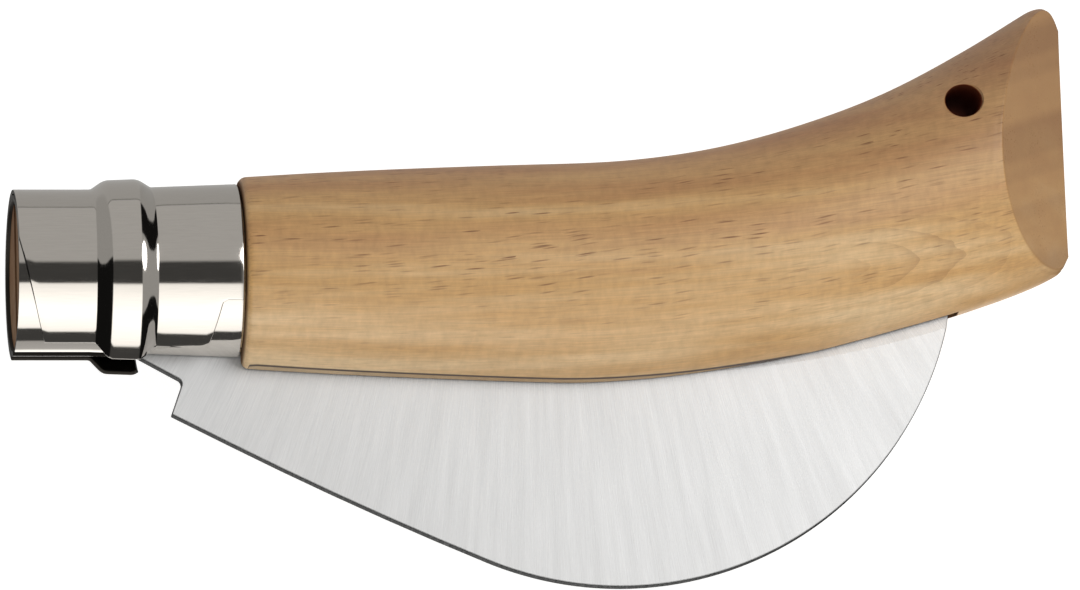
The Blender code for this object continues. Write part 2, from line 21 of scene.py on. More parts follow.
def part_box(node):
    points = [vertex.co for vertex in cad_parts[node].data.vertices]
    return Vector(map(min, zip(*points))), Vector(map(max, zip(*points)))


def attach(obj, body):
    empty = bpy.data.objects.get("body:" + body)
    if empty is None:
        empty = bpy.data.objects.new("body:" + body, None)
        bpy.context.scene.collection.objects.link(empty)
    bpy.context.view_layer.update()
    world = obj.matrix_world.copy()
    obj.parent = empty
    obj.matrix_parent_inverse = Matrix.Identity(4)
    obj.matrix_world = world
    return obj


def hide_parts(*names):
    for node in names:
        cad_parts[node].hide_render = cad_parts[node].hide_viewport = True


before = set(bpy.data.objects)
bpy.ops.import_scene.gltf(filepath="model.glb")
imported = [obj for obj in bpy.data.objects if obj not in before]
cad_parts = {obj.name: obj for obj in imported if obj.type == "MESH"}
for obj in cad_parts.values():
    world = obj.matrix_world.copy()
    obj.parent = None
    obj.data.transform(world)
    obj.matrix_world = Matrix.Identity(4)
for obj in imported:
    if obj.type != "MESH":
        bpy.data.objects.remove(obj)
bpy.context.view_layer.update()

MM = 0.001
LOG = logging.getLogger("pruning_knife")
Point = tuple[float, float]
Triple = tuple[float, float, float]
# The range that a node reads and, where that isn't 0 to 1, the range that it gives
Span = tuple[float, ...]
Adder = Callable[..., NodeSocket]

# Y and Z of the collar's axis, for the patterns that follow it
COLLAR_AXIS: Point = (2.93 * MM, 12.376 * MM)


class Body(Enum):
    """Bodies that the pieces move with."""

    HANDLE = "handle_body"
    BLADE = "blade_body"
    RING = "ring_body"


class Slot(Enum):
    """Names of the material slots, which the script doesn't use."""

    BEECH = "beech"
    COLLAR = "collar_steel"
    RING = "ring_steel"
    BLADE = "blade_steel"
    RIVET = "rivet_steel"


# Colours and nodes

def linear(hex_colour: str) -> tuple[float, float, float, float]:
    """Turn a hex sRGB colour into linear red, green, blue and alpha.

    Args:
        hex_colour: Six hex digits.

    Returns:
        The linear colour, opaque.
    """
    channels = [int(hex_colour[i:i + 2], 16) / 255 for i in (0, 2, 4)]
    values = [c / 12.92 if c <= 0.04045 else ((c + 0.055) / 1.055) ** 2.4 for c in channels]
    return (*values, 1.0)


def feed(node: Node, inputs: dict) -> None:
    """Set or link a node's inputs.

    Args:
        node: The node.
        inputs: Input name or number, and its value, hex colour or the socket that feeds it.
    """
    for key, value in inputs.items():
        socket = node.inputs[key]
        if isinstance(value, NodeSocket):
            node.id_data.links.new(value, socket)
        elif isinstance(value, str):
            socket.default_value = linear(value)[:len(socket.default_value)]
        else:
            socket.default_value = value


def add_node(tree: NodeTree, kind: str, *inputs: object, output: int | str = 0,
             **named: object) -> NodeSocket:
    """Add a node with its settings, and set or link its inputs.

    Args:
        tree: Tree that gets the node.
        kind: The node's type, and after a blank its operation or its type of data.
        *inputs: What feeds the inputs in use, in the node's own order.
        output: Name of the output that is handed back, or its number among those in use.
        **named: The node's settings and, with a capital letter, inputs by name.

    Returns:
        The chosen output socket.
    """
    kind, _, choice = kind.partition(" ")
    node = tree.nodes.new(kind if kind.startswith("Geometry") else "ShaderNode" + kind)
    if choice:
        setattr(node, "data_type" if kind == "Mix" else "operation", choice)
    for name in [name for name in named if name[0].islower()]:
        setattr(node, name, named.pop(name))
    used = [i for i, socket in enumerate(node.inputs) if socket.enabled]
    feed(node, dict(zip(used, inputs)) | named)
    if isinstance(output, str):
        return node.outputs[output]
    return [socket for socket in node.outputs if socket.enabled][output]


def set_ramp(socket: NodeSocket, stops: Sequence[tuple[float, tuple]]) -> None:
    """Give a colour ramp its stops.

    Args:
        socket: An output of the ramp node.
        stops: Position and colour of each stop, in order.
    """
    ramp = socket.node.color_ramp
    while len(ramp.elements) < len(stops):
        ramp.elements.new(1.0)
    for element, (position, colour) in zip(ramp.elements, stops):
        element.position, element.color = position, colour


def new_material(name: str) -> tuple[Material, Adder, Node]:
    """Make a material.

    Args:
        name: The finish's name.

    Returns:
        The material, a function that adds nodes to it and its Principled shader.
    """
    material = bpy.data.materials.new(name)
    material.use_nodes = True
    tree = material.node_tree
    return material, partial(add_node, tree), tree.nodes["Principled BSDF"]


# Finishes. Their methods get `add`, which adds a node to the material's tree.

@dataclass(frozen=True)
class VarnishedBeech:
    """Steamed beech, turned, sanded and varnished: warm, straight grained, half gloss.

    The eye gets short dark flecks along the grain, soft layers that run redder towards the
    handle's back, faint arched rings near the butt and a lightly mottled belly. Painted shade
    darkens the handle's back, the sole beside the kerf, the core's front and the hole's wall.
    """

    hole: Point
    hole_radius: float
    kerf_end: float
    kerf_half: float
    pale: str = "dfbf92"
    warm: str = "cba069"
    red: str = "b07d4f"
    # Painted shade with a grey sheen on the handle's back
    deep: str = "7c5b42"
    fleck: str = "6d4226"
    end_pale: str = "ad8252"
    end_grain: str = "997046"
    # Painted shadow of the kerf's gap
    painted_kerf_shadow: str = "3f2a1a"
    # Raw end grain, darkened as painted shade
    raw_end_in_shade: str = "5c4233"
    # Painted shade on the lanyard hole's wall
    painted_hole_shade: str = "6b3422"
    roughness: float = 0.42
    ior: float = 1.5
    gloss: Span = (0.0, 1.0, 0.5, 0.0)
    # The grain bends up towards the butt
    grain_start: float = -25 * MM
    grain_length: float = 95 * MM
    grain_rise: float = 9 * MM
    # Flecks are the ends of the rays, 2 to 5 mm long in beech. They wander a little, crowd
    # together in places and thin out towards the belly.
    fleck_size: Triple = (4.6 * MM, 0.38 * MM, 0.38 * MM)
    fleck_slope: float = 0.07
    fleck_core: Span = (0.36, 0.12)
    fleck_odds: Span = (0.25, 0.85)
    fleck_height: Span = (-8 * MM, 3 * MM, 0.35, 1.0)
    fleck_strength: float = 0.85
    fleck_roughness: float = 0.15
    drift_size: Triple = (12 * MM, 12 * MM, 12 * MM)
    drift: Triple = (0.0, 1.2 * MM, 1.2 * MM)
    crowd_size: Triple = (40 * MM, 5 * MM, 7 * MM)
    crowd: Span = (0.4, 0.6, 0.35, 1.0)
    # Year rings are 3 to 4 mm apart, and the wood is redder towards the back
    layer_size: Triple = (55 * MM, 3.4 * MM, 5.44 * MM)
    warmer: Span = (-12 * MM, 22 * MM, -0.16, 0.3)
    tones: Triple = (0.22, 0.52, 0.92)
    # Painted shade with a grey sheen: the deep tone darkens the handle's back
    painted_back_shade: Span = (6 * MM, 23 * MM, 0.0, 0.56)
    # Real fibres are about 0.02 mm across, too fine to show, so they are drawn ten times wider
    fibre_size: Triple = (6 * MM, 0.2 * MM, 0.2 * MM)
    fibre_tone: Span = (0.25, 0.75, 0.88, 1.08)
    fibre_depth: float = 0.05 * MM
    fibre_strength: float = 0.12
    mottle_size: Triple = (1.1 * MM, 2.2 * MM, 2.2 * MM)
    mottle_tone: Span = (0.3, 0.7, 0.91, 1.08)
    # Arched rings, where the belly cuts the layers near the butt
    arch_centre: Triple = (33 * MM, -2.4 * MM, 22 * MM)
    arch_size: Triple = (25 * MM, 6 * MM, 12 * MM)
    arch_wobble_size: Triple = (9 * MM, 4 * MM, 4 * MM)
    arch_wobble: float = 0.24
    arch_count: float = 4.2
    arch_line: Span = (0.62, 0.97)
    arch_reach: Span = (1.3, 1.1)
    arch_ahead: Span = (0.0, 14 * MM)
    arch_strength: float = 0.22
    # End grain on the facets: the layers are cut across, so their bands look wider
    facet: Span = (0.3, 0.65, 0.0, 0.75)
    band_width: float = 6 * MM
    band_tilt: float = 0.42
    band_edge: Span = (0.44, 0.56)
    # Painted shadow of the kerf's gap on the sole, by how far the surface faces down
    sole: Span = (-0.955, -0.985)
    kerf_shadow_levels: tuple[Point, ...] = ((0.2, 0.0), (0.36, 1.0), (0.6, 1.0), (0.7, 0.35))
    kerf_shadow_fade: float = 8 * MM
    # Raw wood, darkened as painted shade: the kerf's walls and the core's front.
    # Painted shade darkens the lanyard hole's wall.
    raw_reach: Point = (0.06 * MM, 0.01 * MM)
    raw_share: float = 0.85
    raw_front: Point = (-0.7, -0.95)
    kerf_top: float = 10 * MM
    kerf_margin: float = 0.05 * MM
    hole_shade_reach: Point = (0.1 * MM, 0.02 * MM)
    hole_shade_share: float = 0.96

    def grain(self, add: Adder) -> NodeSocket:
        """Find the point in the wood, with the grain's bend along the handle taken out.

        Args:
            add: Adds a node.

        Returns:
            A vector socket in metres.
        """
        x, y, z = add("SeparateXYZ", add("TexCoord", output="Object")).node.outputs
        share = add("MapRange", x, self.grain_start, self.grain_start + self.grain_length)
        bend = add("Math POWER", share, 2.0)
        return add("CombineXYZ", x, add("Math MULTIPLY_ADD", bend, -self.grain_rise, y), z)

    def flecks(self, add: Adder, point: NodeSocket) -> NodeSocket:
        """Return how strongly a fleck shows: the rays' short dark ends, along the grain.

        Args:
            add: Adds a node.
            point: The point in the wood.

        Returns:
            A factor from 0 to 1.
        """
        drift = add("VectorMath DIVIDE", point, self.drift_size)
        drift = add("TexNoise", drift, Scale=1.0, Detail=1.0, output="Color")
        moved = add("VectorMath ADD", point, add("VectorMath MULTIPLY", drift, self.drift))
        across = add("VectorMath DOT_PRODUCT", moved, (-self.fleck_slope, 1.0, 0.0))
        x, y, z = add("SeparateXYZ", moved).node.outputs
        moved = add("CombineXYZ", x, across, z)
        near = add("TexVoronoi", add("VectorMath DIVIDE", moved, self.fleck_size), Scale=1.0)
        odds = add("SeparateColor", near.node.outputs["Color"])
        crowd = add("VectorMath DIVIDE", point, self.crowd_size)
        crowd = add("TexNoise", crowd, Scale=1.0, Detail=1.0)
        shown = add("MapRange", near, *self.fleck_core)
        for value, span in ((odds, self.fleck_odds), (y, self.fleck_height), (crowd, self.crowd)):
            shown = add("Math MULTIPLY", shown, add("MapRange", value, *span))
        return shown

    def arches(self, add: Adder, point: NodeSocket) -> NodeSocket:
        """Return the thin lines of the year rings, which arch where the belly cuts them.

        Args:
            add: Adds a node.
            point: The point in the wood.

        Returns:
            A factor from 0 to 1.
        """
        offset = add("VectorMath SUBTRACT", point, self.arch_centre)
        away = add("VectorMath LENGTH", add("VectorMath DIVIDE", offset, self.arch_size))
        wobble = add("VectorMath DIVIDE", point, self.arch_wobble_size)
        wobble = add("TexNoise", wobble, Scale=1.0, Detail=4.0)
        ring = add("Math MULTIPLY_ADD", wobble, self.arch_wobble, away)
        wave = add("Math FRACT", add("Math MULTIPLY", ring, self.arch_count))
        line = add("MapRange", wave, *self.arch_line)
        for value, span in ((ring, self.arch_reach), (add("SeparateXYZ", offset), self.arch_ahead)):
            line = add("Math MULTIPLY", line, add("MapRange", value, *span))
        return line

    def toned(self, add: Adder, point: NodeSocket, fibre: NodeSocket) -> NodeSocket:
        """Return the colour along the grain: layers, fibres, the rays' fine mottle and painted
        shade.

        Args:
            add: Adds a node.
            point: The point in the wood.
            fibre: The fibres' pattern.

        Returns:
            A colour socket.
        """
        layer = add("VectorMath DIVIDE", point, self.layer_size)
        layer = add("TexNoise", layer, Scale=1.0, Detail=3.0)
        height = add("SeparateXYZ", point, output="Y")
        colour = add("ValToRGB", add("Math ADD", layer, add("MapRange", height, *self.warmer)))
        set_ramp(colour, [*zip(self.tones, map(linear, (self.pale, self.warm, self.red)))])
        # Painted shade with a grey sheen, darker towards the handle's back
        colour = add("Mix RGBA", add("MapRange", height, *self.painted_back_shade), colour, self.deep)
        mottle = add("VectorMath DIVIDE", point, self.mottle_size)
        mottle = add("TexNoise", mottle, Scale=1.0, Detail=5.0, Roughness=0.6)
        shade = add("Math MULTIPLY", add("MapRange", fibre, *self.fibre_tone),
                    add("MapRange", mottle, *self.mottle_tone))
        return add("VectorMath SCALE", colour, shade)

    def ends(self, add: Adder, colour: NodeSocket) -> NodeSocket:
        """Darken the end grain on the butt's facets, in bands, and paint a shadow beside the kerf.

        Args:
            add: Adds a node.
            colour: The colour along the grain.

        Returns:
            The colour with its ends.
        """
        place = add("TexCoord", output="Object")
        across = (0.0, 1 / self.band_width, self.band_tilt / self.band_width)
        bands = add("TexNoise", add("VectorMath DOT_PRODUCT", place, across), Scale=1.0,
                    Detail=1.0, noise_dimensions='1D')
        bands = add("MapRange", bands, *self.band_edge)
        banded = add("Mix RGBA", bands, self.end_pale, self.end_grain)
        back, down, _ = add("SeparateXYZ", add("TexCoord", output="Normal")).node.outputs
        colour = add("Mix RGBA", add("MapRange", back, *self.facet), colour, banded)
        # Painted shadow of the kerf's gap, where the sole faces down
        line = add("ValToRGB", add("MapRange", down, *self.sole))
        set_ramp(line, [(stop, (level, level, level, 1.0)) for stop, level in self.kerf_shadow_levels])
        along = add("MapRange", add("SeparateXYZ", place), self.kerf_end,
                    self.kerf_end - self.kerf_shadow_fade)
        return add("Mix RGBA", add("Math MULTIPLY", line, along), colour, self.painted_kerf_shadow)

    def sawn(self, add: Adder) -> NodeSocket:
        """Return raw wood with painted shade: the kerf's sawn walls and the core's bare front.

        Args:
            add: Adds a node.

        Returns:
            A factor from 0 to 1.
        """
        corner = (self.kerf_end, COLLAR_AXIS[0] + self.kerf_top, COLLAR_AXIS[1])
        offset = add("VectorMath SUBTRACT", add("TexCoord", output="Object"), corner)
        x, y, z = add("SeparateXYZ", offset).node.outputs
        walls = [self.kerf_half + reach for reach in self.raw_reach]
        side = add("MapRange", add("Math ABSOLUTE", z), *walls, 0.0, self.raw_share)
        for offset in (x, y):
            inside = add("Math LESS_THAN", offset, self.kerf_margin)
            side = add("Math MULTIPLY", side, inside)
        front = add("SeparateXYZ", add("TexCoord", output="Normal"))
        front = add("MapRange", front, *self.raw_front, 0.0, self.raw_share)
        return add("Math MAXIMUM", side, front)

    def hole_shade(self, add: Adder) -> NodeSocket:
        """Return how much painted shade darkens the lanyard hole's wall.

        Args:
            add: Adds a node.

        Returns:
            A factor from 0 to 1.
        """
        offset = add("VectorMath SUBTRACT", add("TexCoord", output="Object"), (*self.hole, 0.0))
        away = add("VectorMath LENGTH", add("VectorMath MULTIPLY", offset, (1.0, 1.0, 0.0)))
        wall = [self.hole_radius + reach for reach in self.hole_shade_reach]
        return add("MapRange", away, *wall, 0.0, self.hole_shade_share)

    def material(self) -> Material:
        """Build the varnished beech.

        Returns:
            The material.
        """
        material, add, shader = new_material("varnished_beech")
        point = self.grain(add)
        fibre = add("VectorMath DIVIDE", point, self.fibre_size)
        fibre = add("TexNoise", fibre, Scale=1.0, Detail=2.0)
        colour, fleck = self.toned(add, point, fibre), self.flecks(add, point)
        for mark, strength in ((self.arches(add, point), self.arch_strength),
                               (fleck, self.fleck_strength)):
            share = add("Math MULTIPLY", mark, strength)
            colour = add("Mix RGBA", share, colour, self.fleck)
        sawn, hole_shade = self.sawn(add), self.hole_shade(add)
        # Raw end grain, darkened as painted shade
        colour = add("Mix RGBA", sawn, self.ends(add, colour), self.raw_end_in_shade)
        bare = add("Math MAXIMUM", hole_shade, sawn)
        rough = add("Math MULTIPLY_ADD", fleck, self.fleck_roughness, self.roughness)
        feed(shader, {
            # Painted shade on the lanyard hole's wall
            "Base Color": add("Mix RGBA", hole_shade, colour, self.painted_hole_shade),
            "Roughness": add("Math MAXIMUM", rough, bare),
            "Specular IOR Level": add("MapRange", bare, *self.gloss),
            "IOR": self.ior,
            "Normal": add("Bump", Height=fibre, Strength=self.fibre_strength,
                          Distance=self.fibre_depth)})
        return material


@dataclass(frozen=True)
class PolishedSteel:
    """Stainless sheet, pressed and polished: mirror bright, a little wavy, with fine haze.

    Only the outside is polished: the sheared edges and the inside are rougher, and painted shade
    darkens them.
    """

    name: str = "polished_steel"
    colour: str = "cdc7c0"
    # Painted shade on the sheared edges and the inside
    dull_shaded: str = "3a3733"
    dull_roughness: float = 0.45
    outward: Span = (0.45, 0.72)
    roughness: float = 0.07
    # Waves of pressed sheet, some 9 mm long. Polishing haze is finer than drawn, so that it shows.
    wave_size: float = 9 * MM
    wave_depth: float = 0.010 * MM
    haze_size: Triple = (3 * MM, 0.15 * MM, 0.15 * MM)
    haze_tone: Span = (0.3, 0.7, 0.97, 1.02)
    haze_read: Span = (0.3, 0.8)
    haze_rough: Point = (0.7, 1.7)

    def outside(self, add: Adder, place: NodeSocket) -> NodeSocket:
        """Return 1 where the face looks away from the collar's axis, 0 on edges and inside.

        Args:
            add: Adds a node.
            place: The point on the piece.

        Returns:
            A factor from 0 to 1.
        """
        offset = add("VectorMath SUBTRACT", place, (0.0, *COLLAR_AXIS))
        away = add("VectorMath NORMALIZE", add("VectorMath MULTIPLY", offset, (0.0, 1.0, 1.0)))
        facing = add("TexCoord", output="Normal")
        return add("MapRange", add("VectorMath DOT_PRODUCT", facing, away), *self.outward)

    def material(self) -> Material:
        """Build the polished steel.

        Returns:
            The material.
        """
        material, add, shader = new_material(self.name)
        place = add("TexCoord", output="Object")
        waves = add("TexNoise", place, Scale=1 / self.wave_size, Detail=1.0)
        haze = add("VectorMath DIVIDE", place, self.haze_size)
        haze = add("TexNoise", haze, Scale=1.0, Detail=2.0)
        rough = [self.roughness * share for share in self.haze_rough]
        rough = add("MapRange", haze, *self.haze_read, *rough)
        base = add("VectorMath SCALE", self.colour, add("MapRange", haze, *self.haze_tone))
        # Painted shade on the edges and the inside, which are also rougher
        inside = add("Math SUBTRACT", 1.0, self.outside(add, place))
        feed(shader, {
            "Metallic": 1.0,
            "Base Color": add("Mix RGBA", inside, base, self.dull_shaded),
            "Roughness": add("Math MULTIPLY_ADD", inside, self.dull_roughness, rough),
            "Normal": add("Bump", Height=waves, Strength=1.0, Distance=self.wave_depth)})
        return material


@dataclass(frozen=True)
class GroundSteel:
    """Stainless blade steel, belt ground across: satin, with fine scratches that fan out.

    The scratches spread from one far point, as a belt that swings across the blade leaves them.
    The stamped rim all round the blade isn't ground, and painted shade keeps it dark.
    """

    colour: str = "cfcfcf"
    bright: str = "f6f6f6"
    tones: Point = (0.4, 0.9)
    # Painted shade on the rim, which would otherwise mirror the pale floor
    rim: str = "242424"
    shaded_rim_facing: Span = (0.97, 0.85)
    # Painted shade: the blade darker towards the collar
    painted_collar_shade: str = "c4c4c4"
    collar_shade_along: Span = (25 * MM, -45 * MM, 0.0, 0.3)
    roughness: float = 0.62
    rough_read: Span = (0.3, 0.7)
    rough_swing: Point = (0.85, 1.15)
    fan_centre: Point = (-0.3 * MM, 72 * MM)
    fan_radius: float = 90 * MM
    # A fine belt leaves scratches of about 0.05 mm, drawn wider so that they show
    scratch_width: float = 0.13 * MM
    scratch_length: float = 4 * MM
    scratch_depth: float = 0.012 * MM
    scratch_strength: float = 0.5
    broad_width: float = 9.0
    broad_length: float = 4.0
    broad_share: float = 0.3

    def scratches(self, add: Adder, width: float, length: float) -> NodeSocket:
        """Return streaks that fan out from the far point.

        Args:
            add: Adds a node.
            width: Width of a streak in metres, at the blade's middle.
            length: Length of a streak in metres.

        Returns:
            A value from 0 to 1.
        """
        centre = (*self.fan_centre, 0.0)
        offset = add("VectorMath SUBTRACT", add("TexCoord", output="Object"), centre)
        x, y, z = add("SeparateXYZ", offset).node.outputs
        angle = add("Math ARCTAN2", x, add("Math MULTIPLY", y, -1.0))
        cells = [add("Math MULTIPLY", value, scale) for value, scale in (
            (angle, self.fan_radius / width), (add("VectorMath LENGTH", offset), 1 / length),
            (z, 1 / length))]
        return add("TexNoise", add("CombineXYZ", *cells), Scale=1.0, Detail=3.0, Roughness=0.6)

    def material(self) -> Material:
        """Build the ground steel.

        Returns:
            The material.
        """
        material, add, shader = new_material("ground_steel")
        fine = self.scratches(add, self.scratch_width, self.scratch_length)
        broad = self.scratches(add, self.scratch_width * self.broad_width,
                               self.scratch_length * self.broad_length)
        colour = add("ValToRGB", add("Math MULTIPLY_ADD", broad, self.broad_share, fine))
        set_ramp(colour, [*zip(self.tones, map(linear, (self.colour, self.bright)))])
        along = add("SeparateXYZ", add("TexCoord", output="Object"))
        # Painted shade, darker towards the collar
        colour = add("Mix RGBA", add("MapRange", along, *self.collar_shade_along), colour, self.painted_collar_shade)
        facing = add("SeparateXYZ", add("TexCoord", output="Normal"), output="Z")
        rim = add("MapRange", add("Math ABSOLUTE", facing), *self.shaded_rim_facing)
        rough = [self.roughness * share for share in self.rough_swing]
        feed(shader, {
            "Metallic": 1.0,
            # Painted shade on the blade's rim
            "Base Color": add("Mix RGBA", rim, colour, self.rim),
            "Roughness": add("MapRange", fine, *self.rough_read, *rough),
            "Normal": add("Bump", Height=fine, Strength=self.scratch_strength,
                          Distance=self.scratch_depth)})
        return material


@dataclass(frozen=True)
class PeenedSteel:
    """Mild steel rivet wire, hammered over: dull grey with small dents."""

    colour: str = "8f8d8a"
    roughness: float = 0.38
    # A small hammer's dents
    dent_size: float = 0.5 * MM
    dent_depth: float = 0.03 * MM
    dent_strength: float = 0.6
    dent_tone: Span = (0.0, 0.8, 1.05, 0.85)

    def material(self) -> Material:
        """Build the peened steel.

        Returns:
            The material.
        """
        material, add, shader = new_material("peened_steel")
        dents = add("TexVoronoi", add("TexCoord", output="Object"), Scale=1 / self.dent_size,
                    feature='SMOOTH_F1')
        tone = add("MapRange", dents, *self.dent_tone)
        feed(shader, {
            "Metallic": 1.0,
            "Base Color": add("VectorMath SCALE", self.colour, tone),
            "Roughness": self.roughness,
            "Normal": add("Bump", Height=dents, Strength=self.dent_strength,
                          Distance=self.dent_depth)})
        return material


@dataclass(frozen=True)
class OpalSheet:
    """Lit table top under the knife: matt opal sheet, near white, with a breath of cloud."""

    colour: str = "b4b4b2"
    glow: str = "ffffff"
    glow_strength: float = 0.85
    roughness: float = 0.9
    gloss: float = 0.1
    cloud_size: float = 4 * MM
    cloud_tone: Span = (0.0, 1.0, 0.99, 1.0)

    def material(self) -> Material:
        """Build the opal sheet.

        Returns:
            The material.
        """
        material, add, shader = new_material("opal_sheet")
        cloud = add("TexNoise", add("TexCoord", output="Object"), Scale=1 / self.cloud_size,
                    Detail=2.0)
        tone = add("MapRange", cloud, *self.cloud_tone)
        feed(shader, {
            "Base Color": add("VectorMath SCALE", self.colour, tone),
            "Roughness": self.roughness, "Specular IOR Level": self.gloss,
            "Emission Color": self.glow, "Emission Strength": self.glow_strength})
        return material


# Mesh helpers

def clamped(value: float) -> float:
    """Return a value held between 0 and 1."""
    return min(1.0, max(0.0, value))


def linked(name: str, data: bpy.types.ID) -> Object:
    """Return a new object in the scene.

    Args:
        name: The object's name.
        data: Its mesh, lamp or camera.

    Returns:
        The object, at the origin.
    """
    thing = bpy.data.objects.new(name, data)
    bpy.context.collection.objects.link(thing)
    return thing


def finish_object(name: str, mesh: Mesh, material: Material,
                  sharp: float | None = None) -> Object:
    """Link a mesh as a smoothly shaded piece at the origin, with its material.

    Args:
        name: The piece's name.
        mesh: The finished mesh.
        material: The piece's material.
        sharp: Angle in degrees from which an edge is shaded sharp.

    Returns:
        The object.
    """
    mesh.materials.clear()
    mesh.materials.append(material)
    mesh.shade_smooth()
    if sharp:
        mesh.set_sharp_from_angle(angle=math.radians(sharp))
    return linked(name, mesh)


def mesh_from(bm: bmesh.types.BMesh, name: str, weld: float = 0.002 * MM) -> Mesh:
    """Weld a bmesh, turn its faces outwards and make a mesh of it.

    Args:
        bm: The bmesh, which is freed.
        name: Name of the mesh.
        weld: Distance below which two points are one.

    Returns:
        The mesh.
    """
    bmesh.ops.remove_doubles(bm, verts=bm.verts, dist=weld)
    bmesh.ops.recalc_face_normals(bm, faces=bm.faces)
    if all(edge.is_manifold for edge in bm.edges) and bm.calc_volume(signed=True) < 0:
        bmesh.ops.reverse_faces(bm, faces=bm.faces)
    mesh = bpy.data.meshes.new(name)
    bm.to_mesh(mesh)
    bm.free()
    return mesh


def baked(piece: Object) -> Mesh:
    """Apply an object's modifiers, and remove the object.

    Args:
        piece: The object with its modifiers.

    Returns:
        The plain mesh.
    """
    bpy.context.view_layer.update()
    graph = bpy.context.evaluated_depsgraph_get()
    mesh = bpy.data.meshes.new_from_object(piece.evaluated_get(graph))
    bpy.data.objects.remove(piece, do_unlink=True)
    return mesh


def cut_mesh(mesh: Mesh, cutters: Sequence[Mesh]) -> Mesh:
    """Cut a closed mesh with closed cutters.

    Args:
        mesh: The mesh that is cut.
        cutters: The cutters' meshes.

    Returns:
        The cut mesh.
    """
    piece = linked("blank", mesh)
    tools = [linked("cutter", cutter) for cutter in cutters]
    for tool in tools:
        boolean = piece.modifiers.new("cut", 'BOOLEAN')
        boolean.object = tool
        boolean.solver = 'EXACT'
    result = baked(piece)
    for tool in tools:
        bpy.data.objects.remove(tool, do_unlink=True)
    return result


def bevelled(mesh: Mesh, width: float, limit: float = 40.0, steps: int = 3) -> Mesh:
    """Round a mesh's sharp edges.

    Args:
        mesh: The mesh.
        width: Width of the rounding.
        limit: Angle in degrees from which an edge is rounded.
        steps: Number of faces across the rounding.

    Returns:
        The rounded mesh.
    """
    piece = linked("blank", mesh)
    bevel = piece.modifiers.new("round", 'BEVEL')
    bevel.width, bevel.segments = width, steps
    bevel.limit_method, bevel.angle_limit = 'ANGLE', math.radians(limit)
    return baked(piece)


def plate_mesh(outline: Sequence[Point], half_thickness: float, origin: Vector) -> Mesh:
    """Return a flat plate in XY, thickened both ways along Z.

    Args:
        outline: Corners in order.
        half_thickness: Half of the plate's thickness.
        origin: Where the outline's origin lies.

    Returns:
        The closed mesh.
    """
    bm = bmesh.new()
    corners = [bm.verts.new(origin + Vector((x, y, -half_thickness))) for x, y in outline]
    raised = bmesh.ops.extrude_face_region(bm, geom=[bm.faces.new(corners)])["geom"]
    moved = [item for item in raised if isinstance(item, bmesh.types.BMVert)]
    bmesh.ops.translate(bm, verts=moved, vec=(0.0, 0.0, 2 * half_thickness))
    return mesh_from(bm, "plate")


def lathed_mesh(profile: Sequence[Point], steps: int, centre: Vector) -> Mesh:
    """Turn a profile round an axis along Z.

    Args:
        profile: Radius and height of each point, from the axis back to the axis.
        steps: Number of faces round the axis.
        centre: A point of the axis, from which heights count.

    Returns:
        The closed mesh.
    """
    bm = bmesh.new()
    verts = [bm.verts.new(centre + Vector((radius, 0.0, height))) for radius, height in profile]
    edges = [bm.edges.new(pair) for pair in zip(verts, verts[1:])]
    bmesh.ops.spin(bm, geom=verts + edges, cent=centre, axis=(0.0, 0.0, 1.0), angle=math.tau,
                   steps=steps, use_merge=True)
    return mesh_from(bm, "lathed")


def drill_mesh(radius: float, reach: float, steps: int, centre: Vector) -> Mesh:
    """Return a round cutter along Z, which reaches as far to both sides of its centre."""
    return lathed_mesh(((0.0, -reach), (radius, -reach), (radius, reach), (0.0, reach)),
                       steps, centre)


def arc(centre: Point, radius: float, start: float, end: float, step: float = 1.0) -> list[Point]:
    """Return points on an arc.

    Args:
        centre: Centre of the arc.
        radius: Radius of the arc.
        start: First angle in degrees.
        end: Last angle in degrees.
        step: Largest angle between points.

    Returns:
        The points, both ends included.
    """
    count = max(1, math.ceil(abs(end - start) / step))
    angles = [math.radians(start + (end - start) * i / count) for i in range(count + 1)]
    return [(centre[0] + radius * math.cos(a), centre[1] + radius * math.sin(a)) for a in angles]


# Collar

